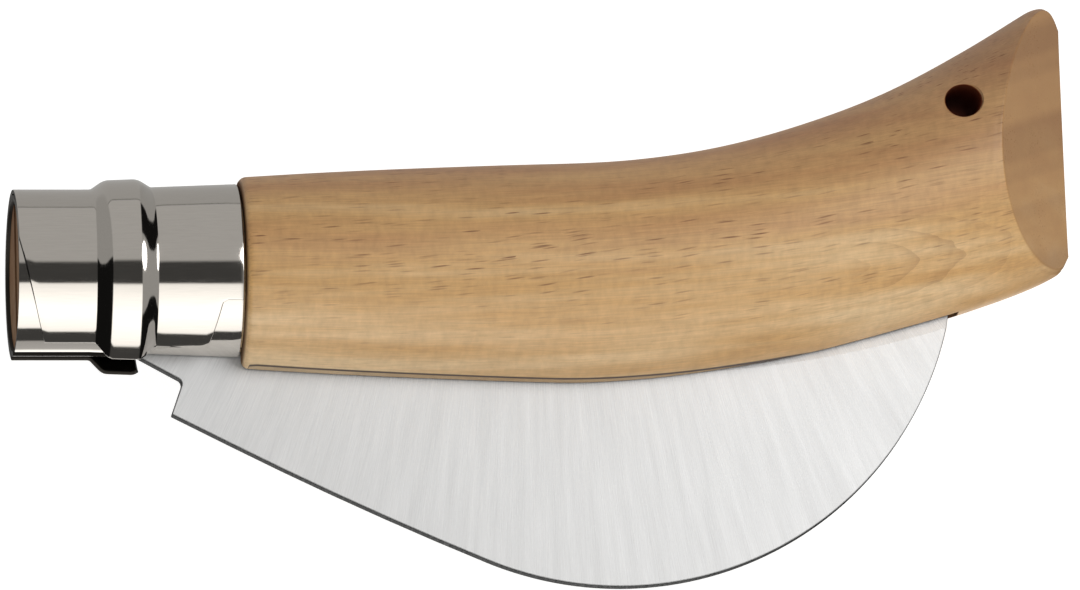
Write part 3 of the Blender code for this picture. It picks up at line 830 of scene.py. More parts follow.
@dataclass
class Collar:
    """Fixed collar: a slotted steel tube, straight in front and slightly conical behind."""

    length: float = 28.6 * MM
    straight_length: float = 9.5 * MM
    front_radius: float = 10.3 * MM
    rear_radius: float = 11.0 * MM
    sheet: float = 0.6 * MM
    slot_half: float = 1.3 * MM
    edge_round: float = 0.15 * MM
    rivet_hole: float = 1.3 * MM
    drill_reach: float = 12 * MM
    drill_steps: int = 32
    rows: int = 24
    columns: int = 180

    def __post_init__(self) -> None:
        """Find the middle of the collar's front, from the construction's own collar."""
        low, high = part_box("ferrule")
        self.origin = Vector((low[0], high[1] - self.rear_radius, (low[2] + high[2]) / 2))

    def radius(self, x: float) -> float:
        """Return the outer radius at a distance behind the front."""
        share = max(0.0, x - self.straight_length) / (self.length - self.straight_length)
        return self.front_radius + (self.rear_radius - self.front_radius) * share

    def tree(self) -> NodeTree:
        """Build the Geometry Nodes that bend a flat sheet into the slotted tube.

        Returns:
            The node tree, with the collar's sizes as named inputs.
        """
        tree = bpy.data.node_groups.new("slotted_collar", 'GeometryNodeTree')
        for name in ("Length", "Straight Length", "Front Radius", "Rear Radius", "Sheet",
                     "Slot Half"):
            tree.interface.new_socket(name, in_out='INPUT', socket_type='NodeSocketFloat')
        tree.interface.new_socket("Material", in_out='INPUT', socket_type='NodeSocketMaterial')
        tree.interface.new_socket("Geometry", in_out='OUTPUT', socket_type='NodeSocketGeometry')
        add = partial(add_node, tree)
        length, straight, front, rear, sheet, slot, material, _ = (
            tree.nodes.new("NodeGroupInput").outputs)

        flat = add("GeometryNodeMeshGrid", 1.0, 1.0, self.rows + 1, self.columns + 1)
        x, y, _ = add("SeparateXYZ", add("GeometryNodeInputPosition")).node.outputs
        along = add("Math MULTIPLY", add("Math ADD", x, 0.5), length)
        share = add("Math DIVIDE", add("Math SUBTRACT", along, straight),
                    add("Math SUBTRACT", length, straight))
        radius = add("Math MULTIPLY_ADD", add("Math MAXIMUM", share, 0.0),
                     add("Math SUBTRACT", rear, front), front)
        edge = add("Math ARCSINE", add("Math DIVIDE", slot, radius))
        span = add("Math MULTIPLY_ADD", edge, -2.0, math.tau)
        turn = add("Math MULTIPLY_ADD", add("Math ADD", y, 0.5), span, edge)
        down = add("Math MULTIPLY", add("Math MULTIPLY", add("Math COSINE", turn), radius), -1.0)
        side = add("Math MULTIPLY", add("Math SINE", turn), radius)
        outer = add("GeometryNodeSetPosition", flat, Position=add("CombineXYZ", along, down, side))
        inward = {"Offset Scale": add("Math MULTIPLY", sheet, -1.0)}
        wall = add("GeometryNodeExtrudeMesh", outer, mode='FACES', Individual=False, **inward)
        both = add("GeometryNodeJoinGeometry", wall)
        feed(both.node, {0: add("GeometryNodeFlipFaces", outer)})
        solid = add("GeometryNodeMergeByDistance", both, Distance=0.001 * MM)
        real = add("GeometryNodeRealizeInstances", solid)
        dressed = add("GeometryNodeSetMaterial", real, Material=material)
        feed(tree.nodes.new("NodeGroupOutput"), {"Geometry": dressed})
        return tree

    def build(self, seat: Vector, material: Material) -> Object:
        """Build the collar, with its two rivet holes.

        Args:
            seat: The rivet's middle.
            material: The collar's finish.

        Returns:
            The piece.
        """
        blank = linked("blank", bpy.data.meshes.new("blank"))
        nodes = blank.modifiers.new("collar", 'NODES')
        nodes.node_group = self.tree()
        values = {"Length": self.length, "Straight Length": self.straight_length,
                  "Front Radius": self.front_radius, "Rear Radius": self.rear_radius,
                  "Sheet": self.sheet, "Slot Half": self.slot_half, "Material": material}
        for socket in nodes.node_group.interface.items_tree:
            if socket.in_out == 'INPUT':
                nodes[socket.identifier] = values[socket.name]
        mesh = baked(blank)
        mesh.transform(Matrix.Translation(self.origin))
        bm = bmesh.new()
        bm.from_mesh(mesh)
        drill = drill_mesh(self.rivet_hole, self.drill_reach, self.drill_steps, seat)
        mesh = bevelled(cut_mesh(mesh_from(bm, "steel_collar"), [drill]), self.edge_round)
        return finish_object("steel_collar", mesh, material)


# Lock ring

@dataclass
class LockRing:
    """Sheet steel ring that turns on the collar: hump, lips, wedge edge and rear cuts.

    Angles are in degrees round the collar, from its slot towards the near side.
    """

    collar: Collar
    sheet: float = 0.5 * MM
    running_gap: float = 0.2 * MM
    hump_length: float = 8.0 * MM
    hump_height: float = 1.1 * MM
    hump_centre: float = 13.8 * MM
    hump_crown: float = 0.38
    crease_share: float = 0.16
    shoulder_share: float = 0.5
    lip_rise: float = 0.6 * MM
    lip_angle: float = 45.0
    front_end_angle: float = 26.5
    hump_end_angle: float = 21.6
    rear_end_angle: float = 24.2
    wedge_lead: float = 3.5 * MM
    wedge_end_angle: float = 105.0
    notch_angle: float = 62.5
    notch_depth: float = 2.5 * MM
    corner_depth: float = 4.3 * MM
    notch_round: float = 0.5 * MM
    far_cut_angle: float = 317.0
    far_cut_share: float = 0.64
    edge_round: float = 0.16 * MM
    near_columns: int = 22
    middle_columns: int = 150
    far_columns: int = 12
    front_rows: int = 8
    hump_rows: int = 36
    rear_rows: int = 8

    def hump(self, x: float) -> float:
        """Return how far the hump has risen: small crease, straight flank, round shoulder.

        Args:
            x: Distance behind the collar's front.

        Returns:
            A share from 0 to 1.
        """
        offset = abs(x - self.hump_centre) / (self.hump_length / 2)
        share = clamped((1 - offset) / (1 - self.hump_crown))
        crease, shoulder = self.crease_share, self.shoulder_share
        slope = 1 / (1 - (crease + shoulder) / 2)
        if share < crease:
            return slope * share ** 2 / (2 * crease)
        if share > 1 - shoulder:
            return 1 - slope * (1 - share) ** 2 / (2 * shoulder)
        return slope * (share - crease / 2)

    def near_end(self, x: float) -> float:
        """Return the angle of the near end of the gap, which closes in at the hump."""
        base = self.front_end_angle if x < self.hump_centre else self.rear_end_angle
        return base + (self.hump_end_angle - base) * self.hump(x)

    def point(self, x: float, angle: float) -> Vector:
        """Return a point of the ring's outside.

        Args:
            x: Distance behind the collar's front.
            angle: Angle round the collar.

        Returns:
            The point, in the scene.
        """
        turn, radius = math.radians(angle), self.radius(x, angle)
        return self.collar.origin + Vector((x, -radius * math.cos(turn), radius * math.sin(turn)))

    def radius(self, x: float, angle: float) -> float:
        """Return the outer radius, with the hump and the lips that rise beside the gap.

        Args:
            x: Distance behind the collar's front.
            angle: Angle round the collar.

        Returns:
            The radius in metres.
        """
        past_end = min(angle, 360 - angle) - self.hump_end_angle
        lip = max(0.0, 1 - max(0.0, past_end) / self.lip_angle) ** 2
        rise = (self.hump_height + self.lip_rise * lip) * self.hump(x)
        return self.collar.radius(x) + self.running_gap + self.sheet + rise

    def wedge(self, angle: float) -> float:
        """Return where the front edge lies: cut back towards the near end of the gap."""
        share = (self.wedge_end_angle - angle) / (self.wedge_end_angle - self.front_end_angle)
        return self.wedge_lead * clamped(share)

    def rear_corner(self, angle: float) -> float:
        """Return where the slanted cut at the near rear corner lies, with its root rounded.

        Args:
            angle: Angle round the collar.

        Returns:
            The distance behind the collar's front.
        """
        share = clamped((self.notch_angle - angle) / (self.notch_angle - self.rear_end_angle))
        depth = self.notch_depth + (self.corner_depth - self.notch_depth) * share
        from_root = math.radians(self.notch_angle - angle) * self.collar.rear_radius
        inside = clamped(from_root / self.notch_round)
        depth -= self.notch_round * (1 - math.sqrt(1 - (1 - inside) ** 2))
        return self.collar.length - depth

    def angles(self, x: float) -> list[float]:
        """Return the angles of a row's points, from the near end of the gap to the far one.

        Args:
            x: Distance behind the collar's front.

        Returns:
            The angles, as many in every row.
        """
        far_end = 360 - self.hump_end_angle
        spans = ((self.near_end(x), self.notch_angle, self.near_columns),
                 (self.notch_angle, self.far_cut_angle, self.middle_columns),
                 (self.far_cut_angle, far_end, self.far_columns))
        return [start + (end - start) * j / steps
                for start, end, steps in spans for j in range(steps)] + [far_end]

    def build(self, material: Material) -> Object:
        """Build the ring as a formed sheet.

        Args:
            material: The ring's finish.

        Returns:
            The piece.
        """
        half, rear = self.hump_length / 2, self.collar.length
        start, end = self.hump_centre - half, self.hump_centre + half
        cut_row = self.hump_centre + self.far_cut_share * self.hump_length / 2
        middle = sorted([start + (end - start) * i / self.hump_rows
                         for i in range(self.hump_rows + 1)] + [cut_row])
        rows: list[list[Point]] = []
        for i in range(self.front_rows):
            share = i / self.front_rows
            rows.append([(self.wedge(a) + (start - self.wedge(a)) * share, a)
                         for a in self.angles(start * share)])
        rows += [[(x, a) for a in self.angles(x)] for x in middle]
        for i in range(1, self.rear_rows + 1):
            share = i / self.rear_rows
            rows.append([(end + (self.rear_corner(a) - end) * share, a) for a in self.angles(rear)])
        rows.append([(rear, a) for a in self.angles(rear)])
        first_cut = self.front_rows + middle.index(cut_row)
        last_cell = len(rows) - 2
        far_column = self.near_columns + self.middle_columns

        bm = bmesh.new()
        grid = [[bm.verts.new(self.point(x, angle)) for x, angle in row] for row in rows]
        for i in range(len(grid) - 1):
            for j in range(len(grid[0]) - 1):
                in_corner = i == last_cell and j < self.near_columns
                in_far_cut = i >= first_cut and j >= far_column
                if not in_corner and not in_far_cut:
                    bm.faces.new((grid[i][j], grid[i][j + 1], grid[i + 1][j + 1], grid[i + 1][j]))
        loose = [vert for vert in bm.verts if not vert.link_faces]
        bmesh.ops.delete(bm, geom=loose, context='VERTS')
        blank = linked("blank", mesh_from(bm, "lock_ring"))
        solidify = blank.modifiers.new("sheet", 'SOLIDIFY')
        solidify.thickness, solidify.offset = self.sheet, -1.0
        solidify.use_even_offset = True
        return finish_object("turning_ring", bevelled(baked(blank), self.edge_round), material)


# Blade

@dataclass
class SickleBlade:
    """Sickle blade, drawn open from its rivet with the tip forward, then folded.

    Points of the open blade count from the rivet, angles are in degrees.
    """

    collar: Collar
    pivot_setback: float = 12.6 * MM
    pivot_drop: float = 0.4 * MM
    thickness: float = 2.0 * MM
    tang_radius: float = 7.5 * MM
    shoulder_foot: float = 9.8 * MM
    shoulder_height: float = 4.6 * MM
    shoulder_fillet: float = 0.8 * MM
    stop_gap: float = 0.3 * MM
    rise_angle: float = 7.7
    straight_length: float = 8.5 * MM
    long_radius: float = 489 * MM
    long_angle: float = 4.2
    hook_radius: float = 43.89 * MM
    hook_angle: float = 108.2
    heel_lead: float = 1.7 * MM
    heel_drop: float = 8.5 * MM
    edge_radius: float = 132 * MM
    edge_thickness: float = 0.3 * MM
    grind_width: float = 6 * MM
    tip_rest_drop: float = 0.4 * MM
    rivet_hole: float = 1.3 * MM
    drill_steps: int = 48
    edge_round: float = 0.14 * MM
    round_angle: float = 45.0
    round_steps: int = 2
    sharp_angle: float = 4.0
    edge_steps: int = 72

    def seat(self) -> Vector:
        """Return the rivet's middle."""
        return self.collar.origin + Vector((self.pivot_setback, -self.pivot_drop, 0.0))

    def stop(self) -> float:
        """Return how far the stop shoulder lies from the rivet."""
        return self.pivot_setback + self.stop_gap

    def heel(self) -> Point:
        """Return where the ground edge starts."""
        return self.stop() + self.heel_lead, -self.heel_drop

    def back(self) -> list[Point]:
        """Return the back.

        Returns:
            The points, from the top of the shoulder to the tip.
        """
        x, y = self.stop(), self.shoulder_foot + self.shoulder_height
        heading = self.rise_angle
        points = [(x, y)]
        x += self.straight_length * math.cos(math.radians(heading))
        y += self.straight_length * math.sin(math.radians(heading))
        for radius, sweep in ((self.long_radius, self.long_angle),
                              (self.hook_radius, self.hook_angle)):
            centre = (x + radius * math.sin(math.radians(heading)),
                      y - radius * math.cos(math.radians(heading)))
            points += arc(centre, radius, heading + 90, heading + 90 - sweep)
            heading -= sweep
            x, y = points.pop()
        return points + [(x, y)]

    def fold(self) -> float:
        """Return the angle in radians that folds the open blade into the kerf."""
        (x, y), drop = self.back()[-1], self.pivot_drop - self.tip_rest_drop
        return math.asin(drop / math.hypot(x, y)) - math.atan2(y, -x)

    def reach(self) -> float:
        """Return the distance from the rivet to the tip."""
        return math.hypot(*self.back()[-1])

    def folded_heel(self) -> Point:
        """Find where the heel lies in the folded knife.

        Returns:
            The point, from the middle of the collar's front.
        """
        (x, y), turn = self.heel(), self.fold()
        along = -x * math.cos(turn) - y * math.sin(turn)
        across = -x * math.sin(turn) + y * math.cos(turn)
        return along + self.pivot_setback, across - self.pivot_drop

    def edge_circle(self) -> tuple[Vector, float, float]:
        """Find the circle of the hollow edge.

        Returns:
            Its centre, and the angles of the heel and of the tip on it.
        """
        heel, tip = Vector(self.heel()), Vector(self.back()[-1])
        chord = tip - heel
        below = Vector((chord.y, -chord.x)).normalized()
        depth = math.sqrt(self.edge_radius ** 2 - (chord.length / 2) ** 2)
        centre = heel + chord / 2 + below * depth
        from_heel, from_tip = heel - centre, tip - centre
        return (centre, math.degrees(math.atan2(from_heel.y, from_heel.x)),
                math.degrees(math.atan2(from_tip.y, from_tip.x)))

    def touch_angle(self, point: Point, side: int) -> float:
        """Return the angle at which a line from a point touches the tang's round end."""
        to_point = math.degrees(math.atan2(point[1], point[0]))
        return to_point + side * math.degrees(math.acos(self.tang_radius / math.hypot(*point)))

    def tang(self) -> list[Point]:
        """Return the tang.

        Returns:
            The points, from the heel round the rivet and up to the stop shoulder.
        """
        foot = (self.stop(), self.shoulder_foot)
        low, high = self.touch_angle(self.heel(), -1), self.touch_angle(foot, 1)
        slope = math.radians(high - 90)
        rise = self.shoulder_fillet * (1 / math.cos(slope) - math.tan(slope))
        fillet = (foot[0] - self.shoulder_fillet, foot[1] + rise)
        return (arc((0.0, 0.0), self.tang_radius, low, high - 360, step=3.0)
                + arc(fillet, self.shoulder_fillet, high - 180, 0, step=10.0))

    def outlines(self) -> tuple[list[Point], list[Point], list[Point]]:
        """Find the lines along the blade, where the ground band ends on its back.

        Returns:
            The back up to the ground band, the band's inner line, and the edge.
        """
        back = self.back()
        centre, heel_angle, tip_angle = self.edge_circle()
        limit = self.edge_radius + self.grind_width
        kept = len(back)
        while (Vector(back[kept - 1]) - centre).length < limit:
            kept -= 1
        inside, outside = Vector(back[kept]), Vector(back[kept - 1])
        near, far = (inside - centre).length, (outside - centre).length
        meeting = inside.lerp(outside, (limit - near) / (far - near)) - centre
        meeting_angle = math.degrees(math.atan2(meeting.y, meeting.x))
        span = (meeting_angle - heel_angle) / self.edge_steps
        grind = [arc(centre, limit, heel_angle + span * i, heel_angle + span * i)[0]
                 for i in range(self.edge_steps + 1)]
        step = abs(tip_angle - heel_angle) / self.edge_steps
        edge = arc(centre, self.edge_radius, heel_angle, tip_angle, step)[:self.edge_steps + 1]
        return back[:kept], grind, edge

    def mesh(self) -> Mesh:
        """Build the open blade from its rivet, tip towards -X.

        Returns:
            The closed mesh.
        """
        back, grind, edge = self.outlines()
        tang = [edge[0], *self.tang()]
        bm = bmesh.new()
        sides = [[[bm.verts.new((-x, y, side * thick / 2)) for x, y in line]
                  for line, thick in ((tang, self.thickness), (back, self.thickness),
                                      (grind, self.thickness), (edge, self.edge_thickness))]
                 for side in (1, -1)]
        for tang, back, grind, edge in sides:
            bm.faces.new(tang + back + grind[::-1])
            bm.faces.new((tang[0], grind[0], edge[0]))
        (upper_tang, _, _, upper_edge), (lower_tang, _, _, lower_edge) = sides
        rims = [tang[1:] + back + [grind[-1], edge[-1]] for tang, back, grind, edge in sides]
        for one, other in ((sides[0][2], upper_edge), (sides[1][2], lower_edge), rims,
                           (upper_edge, lower_edge)):
            for i in range(len(one) - 1):
                bm.faces.new((one[i], one[i + 1], other[i + 1], other[i]))
        bm.faces.new((upper_tang[1], upper_tang[0], upper_edge[0],
                      lower_edge[0], lower_tang[0], lower_tang[1]))
        return mesh_from(bm, "sickle_blade")

    def build(self, material: Material) -> Object:
        """Build the folded blade.

        Args:
            material: The blade's finish.

        Returns:
            The piece.
        """
        drill = drill_mesh(self.rivet_hole, self.thickness, self.drill_steps, Vector((0, 0, 0)))
        mesh = bevelled(cut_mesh(self.mesh(), [drill]), self.edge_round, self.round_angle,
                        self.round_steps)
        mesh.transform(Matrix.Translation(self.seat()) @ Matrix.Rotation(self.fold(), 4, 'Z'))
        return finish_object("sickle_blade", mesh, material, self.sharp_angle)


# Handle

@dataclass
class BeechHandle:
    """Turned beech handle: core in the collar, neck, belly, swept butt, kerf and lanyard hole.

    Places and heights count from the middle of the collar's front.
    """

    collar: Collar
    ring: LockRing
    blade: SickleBlade
    seat_gap: float = 0.3 * MM
    side_gap: float = 0.3 * MM
    kerf_gap: float = 0.4 * MM
    kerf_end_gap: float = 0.5 * MM
    overrun: float = 3 * MM
    neck_step: float = 0.82 * MM
    neck_side_step: float = 0.35 * MM
    neck_lift: float = 0.05 * MM
    neck_rim: float = 1.0 * MM
    belly_half_height: float = 14.4 * MM
    belly_half_thickness: float = 12.2 * MM
    butt_half_height: float = 18.01 * MM
    butt_rise: float = 19.05 * MM
    bend_start: float = 0.375
    tail_length: float = 14.6 * MM
    top_corner: float = 4.7 * MM
    low_corner: float = 1.8 * MM
    facet_angle: float = 52.0
    rake_angle: float = 1.0
    lanyard_radius: float = 2.3 * MM
    lanyard_setback: float = 14.35 * MM
    lanyard_margin: float = 7.75 * MM
    lanyard_chamfer: float = 0.28 * MM
    drill_steps: int = 72
    core_recess: float = 0.45 * MM
    core_gap: float = 0.1 * MM
    kerf_corner: float = 4 * MM
    sharp_angle: float = 32.0
    weld: float = 0.004 * MM
    columns: int = 128
    body_rows: int = 90
    rim_rows: int = 6
    facet_rows: int = 5
    search_rounds: int = 40
    # The facets' rim and the ridge are broken by hand: rows that are smoothed, and how often
    soft_rows: int = 5
    soft_rounds: int = 6
    # Share of the length, share of the swell from neck to belly, and from belly to butt
    sections: tuple[Triple, ...] = (
        (0.00, 0.00, 0.00), (0.10, 0.35, 0.00), (0.22, 0.67, 0.00), (0.38, 0.98, 0.00),
        (0.48, 1.00, 0.01), (0.58, 1.00, 0.05), (0.68, 1.00, 0.18), (0.78, 1.00, 0.36),
        (0.88, 1.00, 0.71), (0.96, 1.00, 1.00), (1.00, 1.00, 1.02))
    # Distances from the facets' rim in mm, along the body and along the facets
    rim_distances: tuple[float, ...] = (8.0, 7.0, 6.0, 5.2, 4.4, 3.7, 3.1, 2.6, 2.1, 1.7, 1.3,
                                        1.0, 0.75, 0.55, 0.38, 0.24, 0.12, 0.0)
    facet_distances: tuple[float, ...] = (0.12, 0.24, 0.38, 0.55, 0.75, 1.0)

    def __post_init__(self) -> None:
        """Work out the handle's ends from the collar and the folded blade."""
        self.start = self.collar.length + self.seat_gap
        self.kerf_end = self.blade.pivot_setback + self.blade.reach() + self.kerf_end_gap
        self.end = self.kerf_end + self.tail_length
        ring = self.ring.radius(self.collar.length, 180.0)
        self.neck_height, self.neck_side = ring + self.neck_step, ring + self.neck_side_step
        self.low_end = self.plain_section(self.end)[1]

    def follow(self, share: float, column: int) -> float:
        """Read a column of the sections on a smooth curve.

        Args:
            share: Share of the handle's length.
            column: Number of the column.

        Returns:
            The value.
        """
        keys = [row[0] for row in self.sections]
        values = [row[column] for row in self.sections]
        last = len(keys) - 1
        row = max(0, min(last - 1, sum(1 for key in keys if key <= share) - 1))
        slopes = []
        for at in (row, row + 1):
            before, after = max(0, at - 1), min(last, at + 1)
            slopes.append((values[after] - values[before]) / (keys[after] - keys[before]))
        span = keys[row + 1] - keys[row]
        t = (share - keys[row]) / span
        start = values[row] * (1 + 2 * t) * (1 - t) ** 2 + slopes[0] * span * t * (1 - t) ** 2
        end = values[row + 1] * t * t * (3 - 2 * t) + slopes[1] * span * t * t * (t - 1)
        return start + end

    def plain_section(self, x: float) -> Triple:
        """Find the section before the butt's corners are rounded.

        Args:
            x: Place along the handle.

        Returns:
            Top, bottom and half thickness.
        """
        share = min(1.0, (x - self.start) / (self.end - self.start))
        swell, flare = self.follow(share, 1), self.follow(share, 2)
        bend = max(0.0, share - self.bend_start) / (1 - self.bend_start)
        centre = self.neck_lift * (1 - share) + self.butt_rise * bend ** 2
        half = self.neck_height + (self.belly_half_height - self.neck_height) * swell
        half += (self.butt_half_height - self.belly_half_height) * flare
        thick = self.neck_side + (self.belly_half_thickness - self.neck_side) * swell
        return centre + half, centre - half, thick

    def ridge(self, y: float) -> float:
        """Return where the butt's ridge lies at a height."""
        return self.end - (y - self.low_end) * math.tan(math.radians(self.rake_angle))

    @staticmethod
    def corner_drop(distance: float, radius: float) -> float:
        """Return how far a rounded corner has dropped at a distance before its end."""
        share = 1 - clamped(distance / radius)
        return radius * (1 - math.sqrt(1 - share ** 2))

    def section(self, x: float) -> Triple:
        """Find the section with the butt's corners rounded.

        Args:
            x: Place along the handle.

        Returns:
            Top, bottom and half thickness.
        """
        top, bottom, thick = self.plain_section(x)
        top -= self.corner_drop(self.ridge(top) - x, self.top_corner)
        bottom += self.corner_drop(self.end - x, self.low_corner)
        return top, bottom, thick

    def oval(self, x: float, turn: float, inset: float = 0.0) -> Vector:
        """Find a point of the handle's oval section.

        Args:
            x: Place along the handle.
            turn: Angle from the handle's back, in radians.
            inset: How far the section is drawn in.

        Returns:
            The point.
        """
        top, bottom, thick = self.section(x)
        centre, half = (top + bottom) / 2, (top - bottom) / 2 - inset
        return Vector((x, centre + half * math.cos(turn), (thick - inset) * math.sin(turn)))

    def facet_x(self, point: Vector) -> float:
        """Return where the butt's facets lie above or beside a point."""
        return self.ridge(point.y) - abs(point.z) / math.tan(math.radians(self.facet_angle))

    def rim_x(self, turn: float) -> float:
        """Find where a line along the handle meets the facets.

        Args:
            turn: Angle of the line from the handle's back, in radians.

        Returns:
            The place along the handle.
        """
        low, high = self.kerf_end - self.tail_length, self.end + self.overrun
        for _ in range(self.search_rounds):
            middle = (low + high) / 2
            if middle < self.facet_x(self.oval(middle, turn)):
                low = middle
            else:
                high = middle
        return (low + high) / 2

    def feet(self, turns: Sequence[float]) -> list[Vector]:
        """Find where each line of points ends on the ridge, shared out like the facets' rim.

        Args:
            turns: The lines' angles from the handle's back, all round, in radians.

        Returns:
            The end of each line.
        """
        half = turns[:len(turns) // 2 + 1]
        rim = [self.oval(self.rim_x(turn), turn) for turn in half]
        run = [0.0]
        for before, after in zip(rim, rim[1:]):
            run.append(run[-1] + (after - before).length)
        heights = [rim[0].y + (rim[-1].y - rim[0].y) * distance / run[-1] for distance in run]
        feet = [Vector((self.ridge(y), y, 0.0)) for y in heights]
        return feet + feet[-2:0:-1]

    def column(self, turn: float, foot: Vector) -> list[Vector]:
        """Find one line of points from the core's front to the butt's ridge.

        Args:
            turn: Angle of the line from the handle's back, in radians.
            foot: Where the line ends on the ridge.

        Returns:
            The points.
        """
        points = []
        for x in (self.core_recess, self.collar.straight_length, self.start):
            radius = self.collar.radius(x) - self.collar.sheet - self.core_gap
            points.append(Vector((x, radius * math.cos(turn), radius * math.sin(turn))))
        for k in range(self.rim_rows):
            lean = math.pi / 2 * k / self.rim_rows
            points.append(self.oval(self.start + self.neck_rim * (1 - math.cos(lean)), turn,
                                    self.neck_rim * (1 - math.sin(lean))))
        body_start = self.start + self.neck_rim
        rim = self.rim_x(turn)
        body_length = rim - self.rim_distances[0] * MM - body_start
        points += [self.oval(body_start + body_length * (i / self.body_rows), turn)
                   for i in range(self.body_rows)]
        points += [self.oval(rim - distance * MM, turn) for distance in self.rim_distances]
        edge = points[-1]
        length = max((edge - foot).length, 0.01 * MM)
        longest = self.facet_distances[-1] * MM
        near = [min(distance * MM / length, 0.45 * distance * MM / longest)
                for distance in self.facet_distances]
        middle = [near[-1] + (1 - 2 * near[-1]) * i / self.facet_rows
                  for i in range(1, self.facet_rows)]
        shares = near + middle + [1 - share for share in reversed(near)] + [1.0]
        return points + [edge.lerp(foot, share) for share in shares]

    def blank(self) -> Mesh:
        """Build the handle before its kerf and holes, its butt's edges softly broken.

        Returns:
            The closed mesh.
        """
        bm = bmesh.new()
        soft = bm.verts.layers.int.new("soft")
        turns = [math.tau * k / self.columns for k in range(self.columns)]
        grid = [[bm.verts.new(self.collar.origin + point) for point in self.column(turn, foot)]
                for turn, foot in zip(turns, self.feet(turns))]
        for line, after in zip(grid, grid[1:] + grid[:1]):
            for i in range(len(line) - 1):
                bm.faces.new((line[i], after[i], after[i + 1], line[i + 1]))
        bm.faces.new([line[0] for line in grid])
        last = len(grid[0])
        rim = last - (2 * len(self.facet_distances) + self.facet_rows) - 1
        for line in grid:
            for i in [*range(rim - self.soft_rows, rim + self.soft_rows + 1), last - 1]:
                line[i][soft] = 1
        bmesh.ops.remove_doubles(bm, verts=bm.verts, dist=self.weld)
        broken = [vert for vert in bm.verts if vert[soft]]
        for _ in range(self.soft_rounds):
            bmesh.ops.smooth_vert(bm, verts=broken, factor=0.5, use_axis_x=True,
                                  use_axis_y=True, use_axis_z=True)
        return mesh_from(bm, "handle_blank", self.weld)

    def kerf(self) -> Mesh:
        """Build the cutter for the sawn kerf, which follows the folded and the open blade.

        Returns:
            The closed mesh.
        """
        blade, pivot = self.blade, self.blade.pivot_setback
        heel_x, heel_y = blade.folded_heel()
        front_top = blade.shoulder_foot - blade.pivot_drop + self.kerf_gap
        tang_top = blade.tang_radius - blade.pivot_drop + self.kerf_gap
        top = max(heel_y, -blade.tip_rest_drop) + self.kerf_gap
        deep = -(self.belly_half_height + self.overrun)
        corner = arc((self.kerf_end - self.kerf_corner, top - self.kerf_corner),
                     self.kerf_corner, 90, 0, step=6.0)
        sweep = self.kerf_end - pivot
        drop = math.degrees(math.asin(deep / sweep))
        end = arc((pivot, -blade.pivot_drop), sweep, drop * self.kerf_corner / -deep, drop,
                  step=0.5)
        outline = [(-self.overrun, deep), (-self.overrun, front_top), (0.0, front_top),
                   (pivot, tang_top), (pivot + blade.tang_radius / 2, tang_top),
                   (heel_x, top), *corner[:-1], *end]
        return plate_mesh(outline, blade.thickness / 2 + self.side_gap, self.collar.origin)

    def lanyard(self) -> tuple[Vector, Vector]:
        """Find where the lanyard hole leaves the near side.

        Returns:
            The point on the hole's axis, and the surface's normal there.
        """
        x = self.end - self.lanyard_setback
        top, bottom, _ = self.section(x)
        turn = math.acos(1 - 2 * self.lanyard_margin / (top - bottom))
        place, step = self.oval(x, turn), 0.001
        along = self.oval(x + step * MM, turn) - place
        around = self.oval(x, turn + step) - place
        return place, around.cross(along).normalized()

    def holes(self) -> list[Mesh]:
        """Build the cutters for the rivet's hole, and for the lanyard hole and its broken rims.

        Returns:
            The closed meshes.
        """
        reach = self.belly_half_thickness + self.overrun
        origin = self.collar.origin
        place, normal = self.lanyard()
        cutters = [drill_mesh(radius, reach, self.drill_steps, centre) for radius, centre in (
            (self.blade.rivet_hole, self.blade.seat()),
            (self.lanyard_radius, origin + Vector((place.x, place.y, 0.0))))]
        flare = self.lanyard_chamfer
        inner, outer = self.lanyard_radius - flare, self.lanyard_radius + 2 * flare
        cone = ((0.0, -2 * flare), (inner, -2 * flare), (outer, flare), (0.0, flare))
        for side in (1, -1):
            out = Vector((normal.x, normal.y, side * normal.z))
            uphill = (Vector((0.0, 0.0, side)) - out * normal.z).normalized()
            rim = lathed_mesh(cone, self.drill_steps, Vector((0.0, 0.0, 0.0)))
            rim.transform(
                Matrix.Translation(origin + Vector((place.x, place.y, side * place.z)))
                @ Matrix((uphill / normal.z, out.cross(uphill), out)).transposed().to_4x4())
            cutters.append(rim)
        return cutters

    def build(self, material: Material) -> Object:
        """Build the handle.

        Args:
            material: The handle's finish.

        Returns:
            The piece.
        """
        mesh = cut_mesh(self.blank(), [self.kerf(), *self.holes()])
        return finish_object("beech_handle", mesh, material, self.sharp_angle)


# Rivet

@dataclass
class Rivet:
    """Rivet through collar, core and tang: a shank with the same domed head at each end."""

    collar: Collar
    blade: SickleBlade
    radius: float = 1.0 * MM
    head_radius: float = 1.5 * MM
    head_height: float = 0.7 * MM
    head_rim: float = 0.1 * MM
    seat_gap: float = 0.3 * MM
    sharp_angle: float = 35.0
    dome_steps: int = 8
    round_steps: int = 40

    def build(self, material: Material) -> Object:
        """Build the rivet.

        Args:
            material: The rivet's finish.

        Returns:
            The piece.
        """
        seat = self.collar.radius(self.blade.pivot_setback) + self.seat_gap
        head = [(self.radius, seat), (self.head_radius, seat)]
        for k in range(self.dome_steps + 1):
            turn = math.pi / 2 * k / self.dome_steps
            rise = self.head_rim + (self.head_height - self.head_rim) * math.sin(turn)
            head.append((self.head_radius * math.cos(turn), seat + rise))
        profile = [(radius, -height) for radius, height in reversed(head)] + head
        mesh = lathed_mesh(profile, self.round_steps, self.blade.seat())
        return finish_object("peened_rivet", mesh, material, self.sharp_angle)


# Studio

